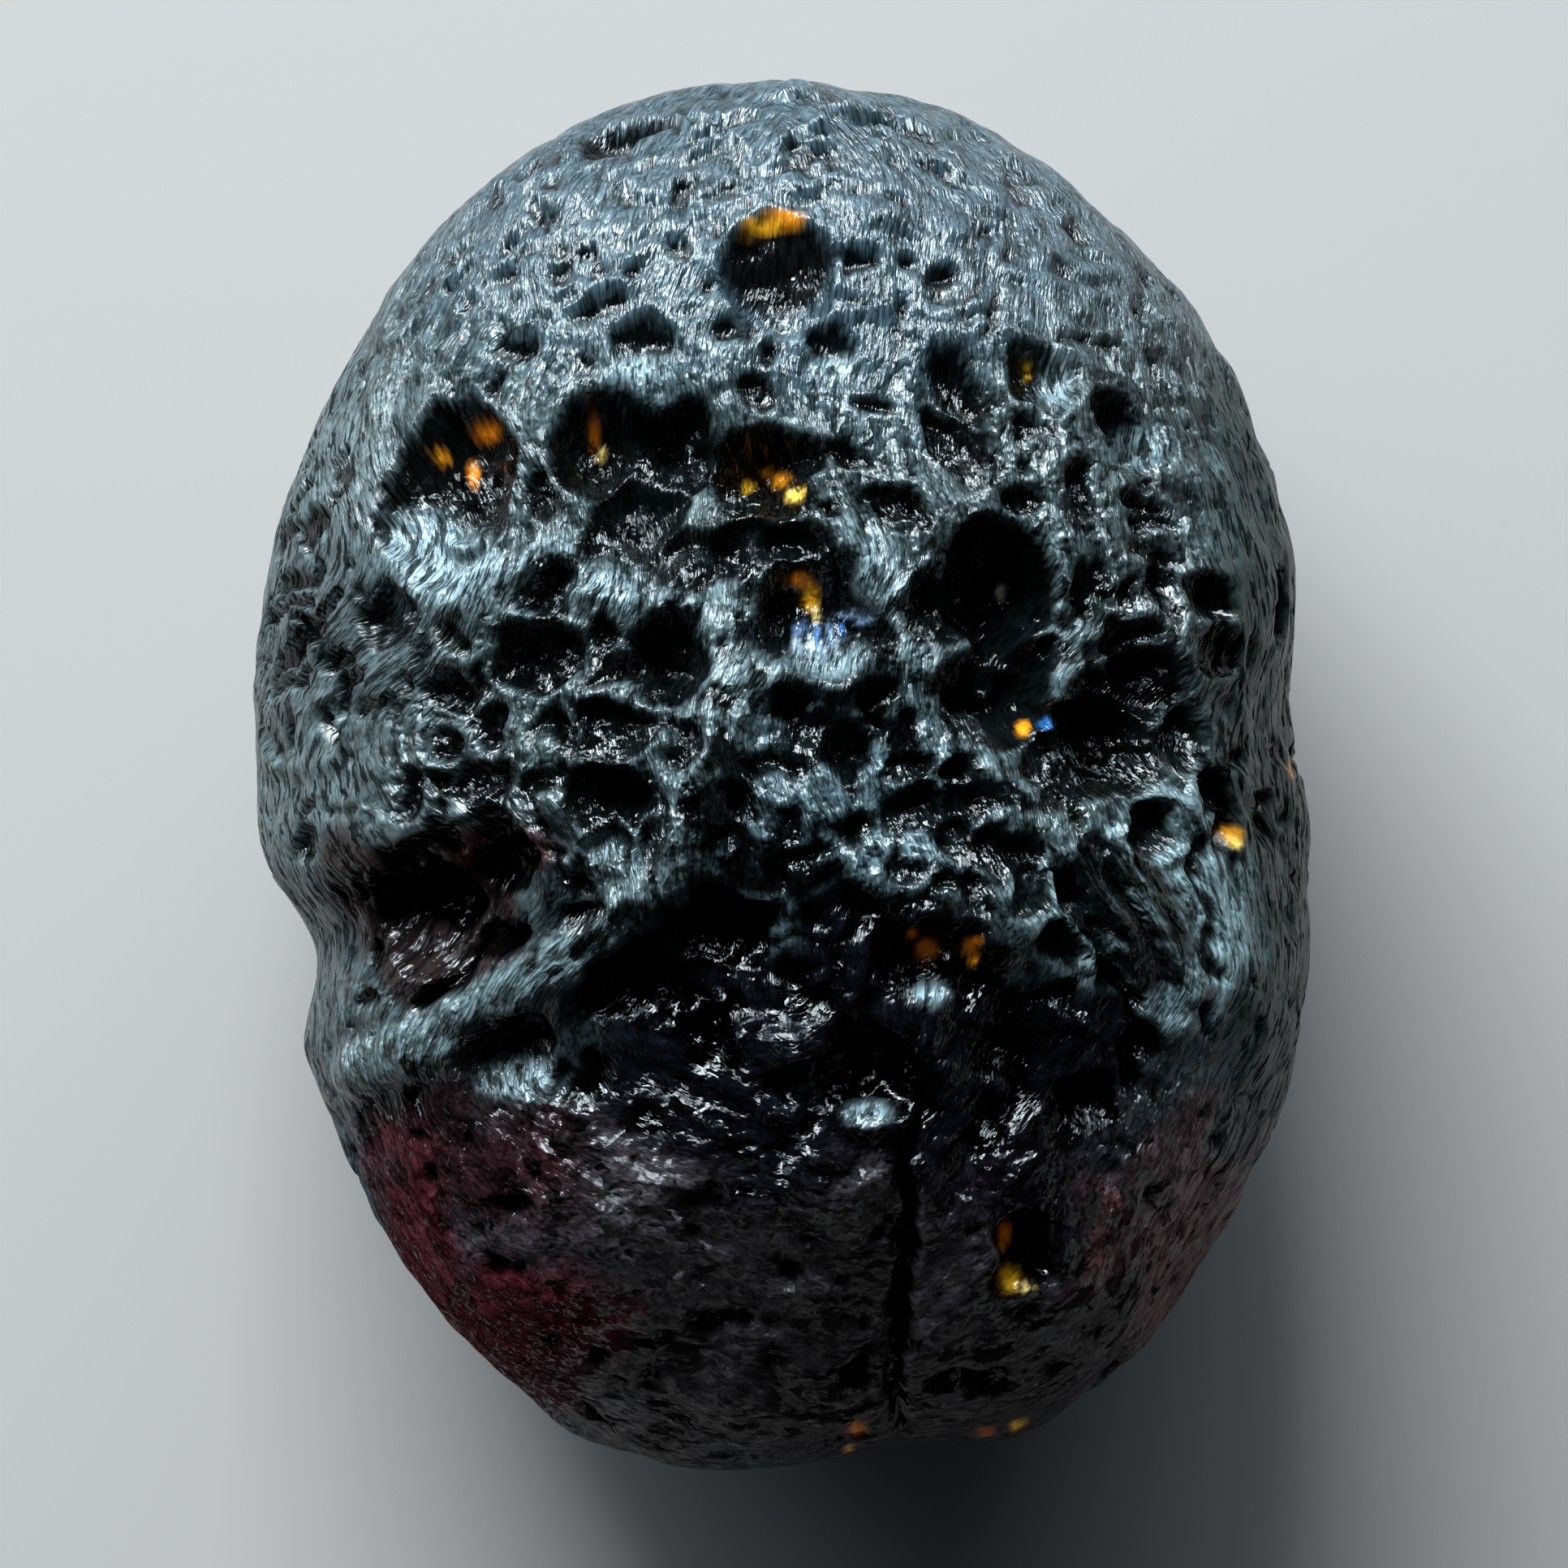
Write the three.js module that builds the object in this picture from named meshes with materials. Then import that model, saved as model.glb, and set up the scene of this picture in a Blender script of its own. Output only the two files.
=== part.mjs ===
// A tektite: a splash of black natural glass that froze in flight, pitted by burst bubbles and by the
// acids of the soil. It is one solid piece, and everything on it is cut out of the same glass.
//
// Millimetres, +Z up. The stone lies on the small flat spot of its underside with its long axis along Y.
// The origin is on that surface, under the middle of the stone's bounding box.
import * as THREE from "three";
import { SimplifyModifier } from "three/addons/modifiers/SimplifyModifier.js";
import { mergeVertices } from "three/addons/utils/BufferGeometryUtils.js";

// ---- Driving dimensions -------------------------------------------------------------------------------
// The widest section, seen from above: its radius every 10 degrees, from +X towards +Y.
const OUTLINE_RADII = [
  21.4, 21.3, 22.4, 22.9, 24.0, 25.4, 26.2, 27.1, 28.3,
  29.0, 28.5, 27.7, 26.3, 25.1, 24.4, 23.9, 22.8, 21.7,
  21.0, 21.1, 20.0, 22.0, 23.0, 24.7, 26.5, 27.5, 27.9,
  28.2, 28.1, 28.9, 28.1, 26.2, 25.0, 24.3, 23.1, 22.0,
];
const CROWN = 17.0; // the upper side rises this far above the widest section
const BELLY = 13.4; // and the underside sinks this far below it
const REST_CUT = 0.4; // how much of the lowest point the flat spot takes off
const FULLNESS = 2.2; // exponent of the section: 2 is an ellipse, more is fuller at the shoulders
const THICKER_END = 0.06; // share by which the -Y end is thicker than the middle, and the +Y end thinner

// The slow waviness of the whole skin, as [height, waves per mm along X, Y and Z, phase].
const WAVES = [
  [0.3, 0.21, 0.16, 0.1, 0.6],
  [0.2, -0.27, 0.31, 0.24, 2.1],
  [0.14, 0.43, 0.22, -0.35, 4.0],
];

// Broad hollows, and swellings as hollows of less than nothing: [x, y, side, radius, depth]. The side is 1
// for the upper side and -1 for the underside.
const HOLLOWS = [
  [0.5, 4.0, 1, 11.0, 0.9],
  [-3.4, -6.4, 1, 4.0, 0.6],
  [10.8, -8.8, 1, 4.0, 0.5],
  [-11.2, -11.6, 1, 2.6, 0.5],
  [13.6, 3.6, 1, 5.0, 0.6],
  [-20.8, 1.0, 1, 3.2, 0.4],
  [4.9, -21.5, 1, 2.6, 0.5],
  [0.0, 24.6, 1, 4.5, -0.3],
  [-19.0, -11.4, 1, 3.2, -0.4],
  [-9.6, 22.0, 1, 5.0, -0.3],
  [-7.5, 9.5, -1, 6.0, 1.0],
  [9.0, -10.5, -1, 6.5, 1.1],
  [10.5, 12.5, -1, 4.5, 0.8],
  [-11.0, -13.0, -1, 5.0, 0.8],
  [-15.0, 2.0, -1, 4.0, -0.5],
];

// Crests of the old skin that stand between the hollows, as { height, width, line }. The width is from the
// middle of the crest to its side, and the line is a row of places [x, y] of the upper side.
const CRESTS = [
  {
    height: 0.7,
    width: 1.1,
    line: [[-17, -11.8], [-13.8, -10.5], [-10.6, -8.6], [-7.4, -6.7], [-4.6, -4.2], [-3.5, -1.8], [-2.5, 1.4],
      [-2.2, 3.8], [-2.7, 7]],
  },
  { height: 0.25, width: 0.75, line: [[4.6, 6.6], [6.2, 3.5], [8, 0.8], [10, -1.6], [12.4, -3.6], [15, -8]] },
  { height: 0.35, width: 0.8, line: [[13.8, -3], [15.4, -5], [16.8, -8.6]] },
  { height: 0.3, width: 0.7, line: [[-13.4, 7], [-11, 8.4], [-8.6, 9.2]] },
  { height: 0.3, width: 0.6, line: [[-6.8, 9], [-5, 7.2], [-3.4, 8.6]] },
  { height: 0.25, width: 0.6, line: [[-0.6, 4], [2, 3.7], [4.4, 4.9]] },
  { height: 0.3, width: 0.8, line: [[4.4, 7.6], [2.6, 10]] },
];
const CREST_GUARD = 0.85; // share of a pit's depth that a crest keeps off
const CREST_SIDE = [0.5, 1.1]; // where that fades out, in half widths of the crest

// Grooves of the upper side, as { depth, width, line } in the same way. The first is the long crack.
const GROOVES = [
  {
    depth: 1.1,
    width: 0.6,
    line: [[5.7, -13.3], [5.1, -15.6], [4.95, -18.4], [4.9, -21], [4.7, -23.2], [4.8, -26.2]],
  },
  { depth: 0.9, width: 0.55, line: [[11.7, 3], [11.9, 0.5], [11.7, -2.2], [12.3, -3.6]] },
  { depth: 0.8, width: 0.5, line: [[13, -3.4], [13.9, -5.2], [15.2, -8.2]] },
  { depth: 1.1, width: 0.6, line: [[-14.7, -9.1], [-13.2, -8.2], [-11.6, -7], [-10.4, -6]] },
];

// Basins are wide bowls that hold whole groups of pits, as [x, y, half width, half length, turn, depth].
const BASINS = [
  [-1.4, -11.0, 8.4, 6.8, 22, 1.2],
  [10.4, -13.2, 5.4, 6.4, 0, 1.1],
  [14.4, 1.8, 3.4, 4.4, 0, 0.7],
  [-5.8, 12.4, 4.4, 3.2, 0, 0.6],
  [-7.3, 4.0, 4.4, 3.4, 0, 0.6],
  [15.6, 9.8, 2.4, 2.6, 0, 0.5],
  [7.2, 14.2, 2.2, 3.0, 0, 0.4],
  [1.6, 1.6, 3.6, 2.0, 0, 0.5],
  [6.0, -2.6, 3.6, 2.4, -30, 0.4],
  [-13.2, 1.4, 3.2, 3.2, 0, 0.4],
];
// Cups have steeper walls: the dark hollow over the waist and the large bubble of the cap.
const CUPS = [
  [-13.2, -4.9, 4.4, 3.0, 30, 1.9],
  [-0.3, 20.4, 2.4, 2.8, 0, 1.7],
];

// Pits of the upper side, in the same way as the basins. The turn is in degrees and swings the length from
// +Y towards -X.
const PITS = [
  // The smooth cap.
  [-6.6, 26.2, 2, 1.3, 15, 1.2],
  [-5.7, 17.6, 1.4, 1.3, 0, 0.9],
  [-1.8, 18.4, 1, 0.85, 0, 0.75],
  [2, 17.4, 1.05, 1.05, 0, 0.85],
  [-10.8, 17.2, 1, 0.6, 0, 0.52],
  // The row of large bubbles under the cap.
  [-13.6, 11.5, 3.2, 4.1, -10, 2.5],
  [-7.8, 13.4, 1.8, 2.2, 0, 1.8],
  [-4.8, 13.6, 2.3, 1.9, 0, 1.7],
  [-6.1, 9.9, 2.3, 2.9, 0, 1.4],
  [-0.7, 12.3, 2.4, 2.2, 0, 2],
  [7.3, 15.7, 0.8, 1.8, 15, 0.9],
  [10.4, 15.9, 1.6, 1.4, 0, 1.3],
  [14.1, 13.7, 2.5, 1.5, -48, 1.6],
  [2.5, 13.2, 1.2, 0.7, -15, 0.7],
  [4.6, 11.1, 1.7, 1, -12, 0.95],
  [7, 13.5, 0.85, 2, 20, 1],
  [12.2, 11.6, 0.6, 1.5, 30, 0.6],
  [15.2, 10.2, 1.9, 1.1, -5, 0.6],
  // The crowded middle.
  [0.2, 2.9, 1.1, 0.9, 0, 0.9],
  [2.6, 1.2, 1.8, 0.9, 0, 0.8],
  [1, -3.4, 1.2, 0.8, 20, 0.7],
  [7.4, -2.6, 1, 0.7, -20, 0.7],
  [3.4, -5, 1.3, 0.8, 0, 0.7],
  [9.9, -4.9, 1.1, 0.7, 30, 0.7],
  [11.4, -7, 0.9, 1.3, 30, 0.7],
  [-5, -0.6, 0.6, 1.2, -10, 0.6],
  [1.6, 6.5, 2.9, 2.6, 0, 2],
  [0.2, 9.3, 2, 1.2, 0, 1.2],
  [-1.9, 9.4, 1.6, 1.1, 0, 0.9],
  [-9.5, 7.5, 1.5, 1.4, 10, 1.2],
  [-10, 4.8, 1.9, 1.8, 0, 1.6],
  [-4.8, 4.6, 2, 2, 0, 1.7],
  [-3.9, 8.6, 1.2, 1.6, 0, 1.1],
  [-6.7, 1.8, 1.7, 1.2, 10, 1],
  [-6.8, -0.8, 1.8, 1.6, 0, 1.5],
  [-7, -2.9, 1.2, 0.9, 0, 0.9],
  [-2.8, -1.3, 1.4, 1.4, 0, 1],
  [-4, 1.2, 0.8, 1.4, -25, 0.8],
  [-16.2, 6.6, 1.3, 1.4, 0, 0.9],
  [-13.9, 1.4, 1, 1, 0, 0.55],
  [-13.5, 3.4, 1.3, 0.9, 0, 0.7],
  [-12.3, -0.6, 1.4, 1.2, 0, 0.8],
  [-15.2, -0.7, 0.8, 1.2, -10, 0.6],
  [-9.8, -0.6, 1, 0.8, 0, 0.5],
  [-9.7, 11.1, 0.8, 1.2, 10, 0.6],
  [1.5, 1.8, 1.5, 0.9, 0, 0.7],
  [3.6, 3.8, 1.2, 0.9, 0, 0.6],
  [0.4, -2.2, 1.1, 0.8, 0, 0.6],
  [6.4, -1.8, 1.1, 0.8, 0, 0.5],
  [9, -3.3, 1, 0.8, 0, 0.5],
  // The pair of deep bubbles and the broken ground beside them.
  [8.9, 7.4, 2.5, 3.1, 0, 3],
  [9.2, 3.4, 2.3, 2.6, 5, 2.6],
  [9.3, 5.4, 1.7, 1.7, 0, 2.6],
  [6.2, 6.4, 1.3, 1.5, 0, 1.3],
  [10, 1.9, 1.1, 0.9, 0, 0.9],
  [15.4, 7.7, 0.9, 1.7, 10, 0.9],
  [17.5, 7.2, 1.6, 1.4, 0, 1],
  [17.8, 5, 1.4, 0.9, 0, 0.8],
  [20.4, 6.9, 1.1, 1.8, 0, 0.9],
  [15.2, 3.9, 1.8, 1.4, 0, 1.3],
  [13.8, 1.2, 2.6, 2.2, 0, 2],
  [16.6, 1.4, 1.2, 1.6, 10, 1],
  [17.6, -0.8, 1.2, 1, 0, 1],
  [19.9, -1.8, 1.1, 1.1, 45, 0.9],
  [15.2, -2.2, 1.3, 1.1, 0, 1.2],
  [14.2, 5.6, 1.2, 1, 0, 0.7],
  [12.5, 7.4, 0.7, 1.3, 0, 0.5],
  [12.7, -5.2, 0.8, 2.2, 34, 0.7],
  [14.8, -7.1, 0.7, 1.8, 34, 0.6],
  [13.2, -2.8, 1, 0.8, 0, 0.5],
  // The side of the waist.
  [-20.2, 1.5, 0.9, 1.3, 0, 0.5],
  [-18.8, 1.6, 0.7, 1.2, 0, 0.4],
  [-19.4, -3, 1.3, 0.5, 8, 0.5],
  [-19.4, -1.6, 1.2, 0.4, 35, 0.35],
  [-18.4, -12.5, 0.6, 1.1, 10, 0.6],
  // The dark hollows and the lower middle.
  [-14.6, -5.4, 1.8, 1.6, 0, 0.9],
  [-11.7, -3.8, 1.9, 1.3, 20, 0.9],
  [-12.8, -7.6, 1.2, 0.9, 30, 0.5],
  [-2.5, -6.3, 2.1, 1.7, 0, 1.3],
  [-6.5, -8.5, 1.9, 1.5, 20, 1],
  [0.7, -8.6, 1.1, 1.3, 0, 0.8],
  [-2.8, -11.3, 1.6, 1.2, 0, 0.8],
  [-4.3, -9.6, 1.2, 0.9, 0, 0.6],
  [-11.6, -11.3, 2.4, 1.7, 25, 1.1],
  [-8.2, -12.7, 1.3, 1, 0, 0.6],
  [5.6, -7.4, 1.9, 1.8, 0, 1.5],
  [7.6, -7.5, 0.9, 1.5, 0, 1.1],
  [3.7, -12.2, 2.3, 2, 0, 1.6],
  [9.2, -11.6, 1.6, 1.4, 0, 0.7],
  [12.3, -13.9, 2, 1.5, 0, 0.9],
  [14.6, -11.3, 1, 1.3, 0, 0.5],
  [8.4, -14.6, 1.2, 1, 0, 0.5],
  // The lower end.
  [9.7, -19.2, 1.5, 2, 0, 1.7],
  [2.8, -24.6, 1, 1.2, 0, 0.9],
  [2.4, -27.2, 1, 0.7, 0, 0.7],
  [6.2, -27.6, 1, 0.8, 0, 0.8],
  [7.8, -24.9, 1.7, 1.1, 0, 0.9],
  [-7.6, -26, 1.2, 0.7, -38, 0.6],
  [-11, -17.3, 1, 0.7, 0, 0.5],
];

// Pits of the underside and the flanks, spread evenly by the golden angle.
const UNDER_PITS = 84;
const UNDER_RADIUS = [0.9, 3.2]; // smallest and largest
const UNDER_DEPTH = 0.6; // depth as a share of the radius
const UNDER_TOP = -0.12; // they reach up to this height on the ball of directions
const CLEAR_OF_REST = 6.8; // and stay this far from the middle of the flat spot

const RIM_ROUNDING = 1.1; // power of a bowl's curve: 0.5 is half a ball with upright walls, 1 is a soft dish
const CUP_ROUNDING = 0.6;
const SKEW = 0.45; // share by which a pit is deeper towards the cap, because the flow drew it out
const BASIN_SKEW = 0.8; // the same for a basin
const CUP_SKEW = -0.5; // a cup is deeper at its other end
const FINE_GRID = [92, 120, 66]; // cells along X, Y and Z of the box that is blown up into the stone
const FACES = 9700; // faces kept when the fine grid is thinned out where it is smooth
const GOLDEN_ANGLE = Math.PI * (3 - Math.sqrt(5));

// ---- The smooth stone ---------------------------------------------------------------------------------
// The outline's radius at an angle: a closed Catmull-Rom curve through the radii above.
function outlineRadius(angle) {
  const n = OUTLINE_RADII.length;
  const place = ((angle / (2 * Math.PI)) * n + 2 * n) % n;
  const k = Math.floor(place);
  const t = place - k;
  const [a, b, c, d] = [-1, 0, 1, 2].map((s) => OUTLINE_RADII[(k + s + n) % n]);
  return b + 0.5 * t * (c - a + t * (2 * a - 5 * b + 4 * c - d + t * (3 * (b - c) + d - a)));
}

// The plain stone in a direction: the outline, with a full oval section over and under it.
function ovalPoint(direction) {
  const angle = Math.atan2(direction.y, direction.x);
  const spread = Math.hypot(direction.x, direction.y) ** (2 / FULLNESS) * outlineRadius(angle);
  const rise = Math.abs(direction.z) ** (2 / FULLNESS) * (direction.z > 0 ? CROWN : -BELLY);
  const p = new THREE.Vector3(spread * Math.cos(angle), spread * Math.sin(angle), 0);
  p.z = rise * (1 - (THICKER_END * p.y) / OUTLINE_RADII[9]);
  return p;
}

// The outward direction of the plain stone at a point of it.
function outwardAt(p) {
  const across = outlineRadius(Math.atan2(p.y, p.x)) ** 2;
  return new THREE.Vector3(p.x / across, p.y / across, p.z / (p.z > 0 ? CROWN : BELLY) ** 2).normalize();
}

// The direction of the point over (side 1) or under (side -1) a place of the plan.
function directionTo(x, y, side = 1) {
  const angle = Math.atan2(y, x);
  const flat = Math.min(0.998, Math.hypot(x, y) / outlineRadius(angle)) ** (FULLNESS / 2);
  return new THREE.Vector3(flat * Math.cos(angle), flat * Math.sin(angle), side * Math.sqrt(1 - flat * flat));
}

const HOLLOW_CENTRES = HOLLOWS.map(([x, y, side]) => ovalPoint(directionTo(x, y, side)));

// How far a point is, in plan, from a line of places. The underside is far from every line.
function lineDistance(p, line) {
  if (p.z < 0) return Infinity;
  const place = new THREE.Vector3(p.x, p.y, 0);
  const corners = line.map(([x, y]) => new THREE.Vector3(x, y, 0));
  const steps = corners.slice(1).map((end, k) => new THREE.Line3(corners[k], end));
  const shadow = new THREE.Vector3();
  return Math.min(...steps.map((step) => step.closestPointToPoint(place, true, shadow).distanceTo(place)));
}

function reliefAt(p) {
  let high = 0;
  for (const [size, kx, ky, kz, phase] of WAVES) {
    high += size * Math.sin(kx * p.x + ky * p.y + kz * p.z + phase);
  }
  HOLLOWS.forEach(([, , , radius, depth], i) => {
    high -= depth * Math.exp(-p.distanceToSquared(HOLLOW_CENTRES[i]) / radius ** 2);
  });
  for (const { height, width, line } of CRESTS) {
    high += height * Math.exp(-((lineDistance(p, line) / width) ** 4));
  }
  return high;
}

function surfacePoint(direction) {
  const p = ovalPoint(direction);
  return p.addScaledVector(outwardAt(p), reliefAt(p));
}

// ---- The pits -----------------------------------------------------------------------------------------
// A pit is the trace of a bubble: a round bowl let into the skin, with its axis outwards. It is kept as the
// middle of its mouth, the turn and stretch that make the mouth a unit circle, its way towards the cap over
// its size, and its depth.
function pit(direction, halfWidth, halfLength, turn, depth) {
  const middle = surfacePoint(direction);
  const outwards = new THREE.Quaternion().setFromUnitVectors(new THREE.Vector3(0, 0, 1), outwardAt(middle));
  const mouth = new THREE.Matrix4().makeRotationZ(THREE.MathUtils.degToRad(turn));
  mouth.premultiply(new THREE.Matrix4().makeRotationFromQuaternion(outwards));
  const reach = Math.max(halfWidth, halfLength);
  mouth.scale(new THREE.Vector3(halfWidth, halfLength, reach));
  const toCap = new THREE.Vector3(0, 1, 0).applyQuaternion(outwards).divideScalar(reach);
  return { middle, toUnit: new THREE.Matrix3().setFromMatrix4(mouth).invert(), toCap, depth };
}

const upperPit = ([x, y, ...size]) => pit(directionTo(x, y), ...size);

// How deep a pit is under a point of the skin: nothing at its rim, and more on the side of the cap.
function depthUnder({ middle, toUnit, toCap, depth }, p, rounding, skew) {
  const apart = p.clone().sub(middle);
  const place = apart.clone().applyMatrix3(toUnit);
  if (Math.abs(place.z) > 1) return 0;
  const bowl = Math.max(0, 1 - place.x ** 2 - place.y ** 2) ** rounding;
  return depth * bowl * (1 + skew * apart.dot(toCap));
}

function deepest(pits, p, rounding, skew) {
  return pits.reduce((most, one) => Math.max(most, depthUnder(one, p, rounding, skew)), 0);
}

// How deep the grooves are under a point of the skin: a bowl of the distance to the nearest line.
function grooveDepth(p) {
  const depthOf = ({ depth, width, line }) => depth * Math.max(0, 1 - (lineDistance(p, line) / width) ** 2);
  return Math.max(...GROOVES.map(depthOf));
}

// How much of a pit's depth is left at a point: less near the middle of a crest.
function leftByCrests(p) {
  const fadeOf = ({ width, line }) => THREE.MathUtils.smoothstep(lineDistance(p, line) / width, ...CREST_SIDE);
  return 1 - CREST_GUARD * (1 - Math.min(...CRESTS.map(fadeOf)));
}

// A repeatable number from 0 to 1 for each whole number.
function scatter(i) {
  const big = Math.sin(i * 12.9898) * 43758.5453;
  return big - Math.floor(big);
}

function underPits() {
  const pits = [];
  for (let i = 0; i < UNDER_PITS; i++) {
    const z = UNDER_TOP - (1 + UNDER_TOP) * ((i + 0.5) / UNDER_PITS);
    const angle = i * GOLDEN_ANGLE;
    const flat = Math.sqrt(1 - z * z);
    const direction = new THREE.Vector3(flat * Math.cos(angle), flat * Math.sin(angle), z);
    const p = ovalPoint(direction);
    const radius = UNDER_RADIUS[0] + (UNDER_RADIUS[1] - UNDER_RADIUS[0]) * scatter(i + 1) ** 2;
    if (z < 0 && Math.hypot(p.x, p.y) < CLEAR_OF_REST + radius) continue;
    const long = radius * (1 + 0.4 * scatter(i + 101));
    pits.push(pit(direction, radius, long, 180 * scatter(i + 201), UNDER_DEPTH * radius));
  }
  return pits;
}

// ---- The stone ----------------------------------------------------------------------------------------
// The pitted skin in a direction. Where pits meet the deeper one wins, which leaves a sharp ridge between
// them, and a basin lets its whole group of pits down.
function stonePoint(direction, { pits, basins, cups }) {
  const p = surfacePoint(direction);
  const low = deepest(basins, p, RIM_ROUNDING, BASIN_SKEW) + deepest(cups, p, CUP_ROUNDING, CUP_SKEW);
  const depth = low + Math.max(deepest(pits, p, RIM_ROUNDING, SKEW), grooveDepth(p));
  return p.addScaledVector(outwardAt(p), -depth * leftByCrests(p));
}

// A box's grid, spread to even angles and blown up into the stone.
function fineStone() {
  const pits = [...PITS.map(upperPit), ...underPits()];
  const bowls = { pits, basins: BASINS.map(upperPit), cups: CUPS.map(upperPit) };
  const box = new THREE.BoxGeometry(2, 2, 2, ...FINE_GRID);
  box.deleteAttribute("normal");
  box.deleteAttribute("uv");
  const geometry = mergeVertices(box, 1e-6);
  const place = geometry.attributes.position;
  for (let i = 0; i < place.count; i++) {
    const even = [place.getX(i), place.getY(i), place.getZ(i)].map((v) => Math.tan((v * Math.PI) / 4));
    place.setXYZ(i, ...stonePoint(new THREE.Vector3(...even).normalize(), bowls).toArray());
  }
  return geometry;
}

// The flat spot takes off everything below a level plane.
function flattenLowest(geometry) {
  geometry.computeBoundingBox();
  const level = geometry.boundingBox.min.z + REST_CUT;
  const place = geometry.attributes.position;
  for (let i = 0; i < place.count; i++) place.setZ(i, Math.max(level, place.getZ(i)));
}

async function tektiteGeometry() {
  const fine = fineStone();
  flattenLowest(fine);
  const surplus = fine.attributes.position.count - FACES / 2;
  const geometry = await new SimplifyModifier().modify(fine, surplus);
  geometry.computeBoundingBox();
  const { min, max } = geometry.boundingBox;
  geometry.translate(-(min.x + max.x) / 2, -(min.y + max.y) / 2, -min.z);
  geometry.computeVertexNormals();
  return geometry;
}

// ---- The part -----------------------------------------------------------------------------------------
const glass = new THREE.MeshStandardMaterial({ color: 0x0d1013, roughness: 0.16, metalness: 0 });
const tektite = new THREE.Mesh(await tektiteGeometry(), glass);
tektite.name = "tektite";

const part = new THREE.Group();
part.add(tektite);

export default part;
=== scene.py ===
# %% [markdown]
# # A tektite
# A tektite is a splash of rock that an impact melted and threw. It froze to black glass while it flew, with
# its bubbles and its flow lines in it, and the acids of the soil then opened the bubbles and deepened the
# lines. This one is an oval lump about as long as a thumb's two joints, and it lies on its flatter side.
#
# Everything below is in millimetres until a mesh is made. The middle of the stone's widest section is the
# origin, +Y points at its smooth cap and +Z up.

import bpy
import numpy as np
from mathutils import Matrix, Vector


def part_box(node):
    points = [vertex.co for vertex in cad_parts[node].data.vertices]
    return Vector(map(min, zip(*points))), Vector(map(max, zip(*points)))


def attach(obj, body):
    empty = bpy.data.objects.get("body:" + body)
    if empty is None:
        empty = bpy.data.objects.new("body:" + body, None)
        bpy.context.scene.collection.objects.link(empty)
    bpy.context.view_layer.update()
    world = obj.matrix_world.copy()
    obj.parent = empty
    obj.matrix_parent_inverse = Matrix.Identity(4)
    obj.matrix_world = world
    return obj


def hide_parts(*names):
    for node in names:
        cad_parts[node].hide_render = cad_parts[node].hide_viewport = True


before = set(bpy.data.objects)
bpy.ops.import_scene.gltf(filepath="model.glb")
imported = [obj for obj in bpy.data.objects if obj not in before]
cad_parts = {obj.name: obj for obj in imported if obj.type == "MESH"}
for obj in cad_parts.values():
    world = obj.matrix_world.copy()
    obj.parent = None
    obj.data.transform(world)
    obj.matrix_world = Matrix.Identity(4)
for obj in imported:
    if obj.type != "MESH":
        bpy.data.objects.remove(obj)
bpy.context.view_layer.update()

METRE = 1000  # in millimetres
NODE_LOW, NODE_HIGH = (np.array(corner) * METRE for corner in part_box("tektite"))
print("solid, mm:", NODE_LOW.round(2), NODE_HIGH.round(2))

# %% [markdown]
# ## The smooth stone
# The lump could be sculpted by hand from a ball. Here it is a formula instead, so that every point of it can
# be asked for: a closed curve gives the outline as it is seen from above, and a full oval section goes over
# and under it.

# %% The outline and the oval section
OUTLINE_RADII = np.array([  # of the widest section, every 10 degrees from +X towards +Y
    21.4, 21.3, 22.4, 22.9, 24.0, 25.4, 26.2, 27.1, 28.3, 29.0, 28.5, 27.7,
    26.3, 25.1, 24.4, 23.9, 22.8, 21.7, 21.0, 21.1, 20.0, 22.0, 23.0, 24.7,
    26.5, 27.5, 27.9, 28.2, 28.1, 28.9, 28.1, 26.2, 25.0, 24.3, 23.1, 22.0,
])
CROWN, BELLY = 17.0, 13.4  # how far the upper side rises over the widest section, and the underside sinks
REST_CUT = 0.4  # how far the flat spot cuts into the lowest place
FULLNESS = 2.2  # power of the section: 2 is an ellipse, more is fuller at the shoulders
THICKER_END = 0.06  # share by which the lower end is thicker than the middle, and the cap thinner
CAP_RADIUS = OUTLINE_RADII[9]  # the one along +Y
RIM_SHARE = 0.998  # of the outline's radius, beyond which no place of the plan is looked up


def unit(rows):
    """Rows made one long."""
    return rows / np.linalg.norm(rows, axis=1)[:, None]


def outline_radius(angle):
    """The outline's radius: a closed Catmull-Rom curve through radii that stand at even angles."""
    count = len(OUTLINE_RADII)
    place = angle / (2 * np.pi) * count
    step = np.floor(place).astype(int)
    t = place - step
    a, b, c, d = (OUTLINE_RADII[(step + s) % count] for s in (-1, 0, 1, 2))
    return b + 0.5 * t * (c - a + t * (2 * a - 5 * b + 4 * c - d + t * (3 * (b - c) + d - a)))


def oval_points(directions):
    """Directions become points: the level part, to the power 2 / fullness, times the outline's radius, and
    the upright part, to the same power, times the crown or the belly. One end is a little thicker."""
    x, y, z = directions.T
    angle = np.arctan2(y, x)
    spread = np.hypot(x, y) ** (2 / FULLNESS) * outline_radius(angle)
    rise = np.sign(z) * np.abs(z) ** (2 / FULLNESS) * np.where(z > 0, CROWN, BELLY)
    along = spread * np.sin(angle)
    return np.stack([spread * np.cos(angle), along, rise * (1 - THICKER_END * along / CAP_RADIUS)], 1)


def outward(points):
    """The oval's outward directions: each coordinate over its half size squared, made one long."""
    across = outline_radius(np.arctan2(points[:, 1], points[:, 0])) ** 2
    deep = np.where(points[:, 2] > 0, CROWN, BELLY) ** 2
    return unit(points / np.stack([across, across, deep], 1))


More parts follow.
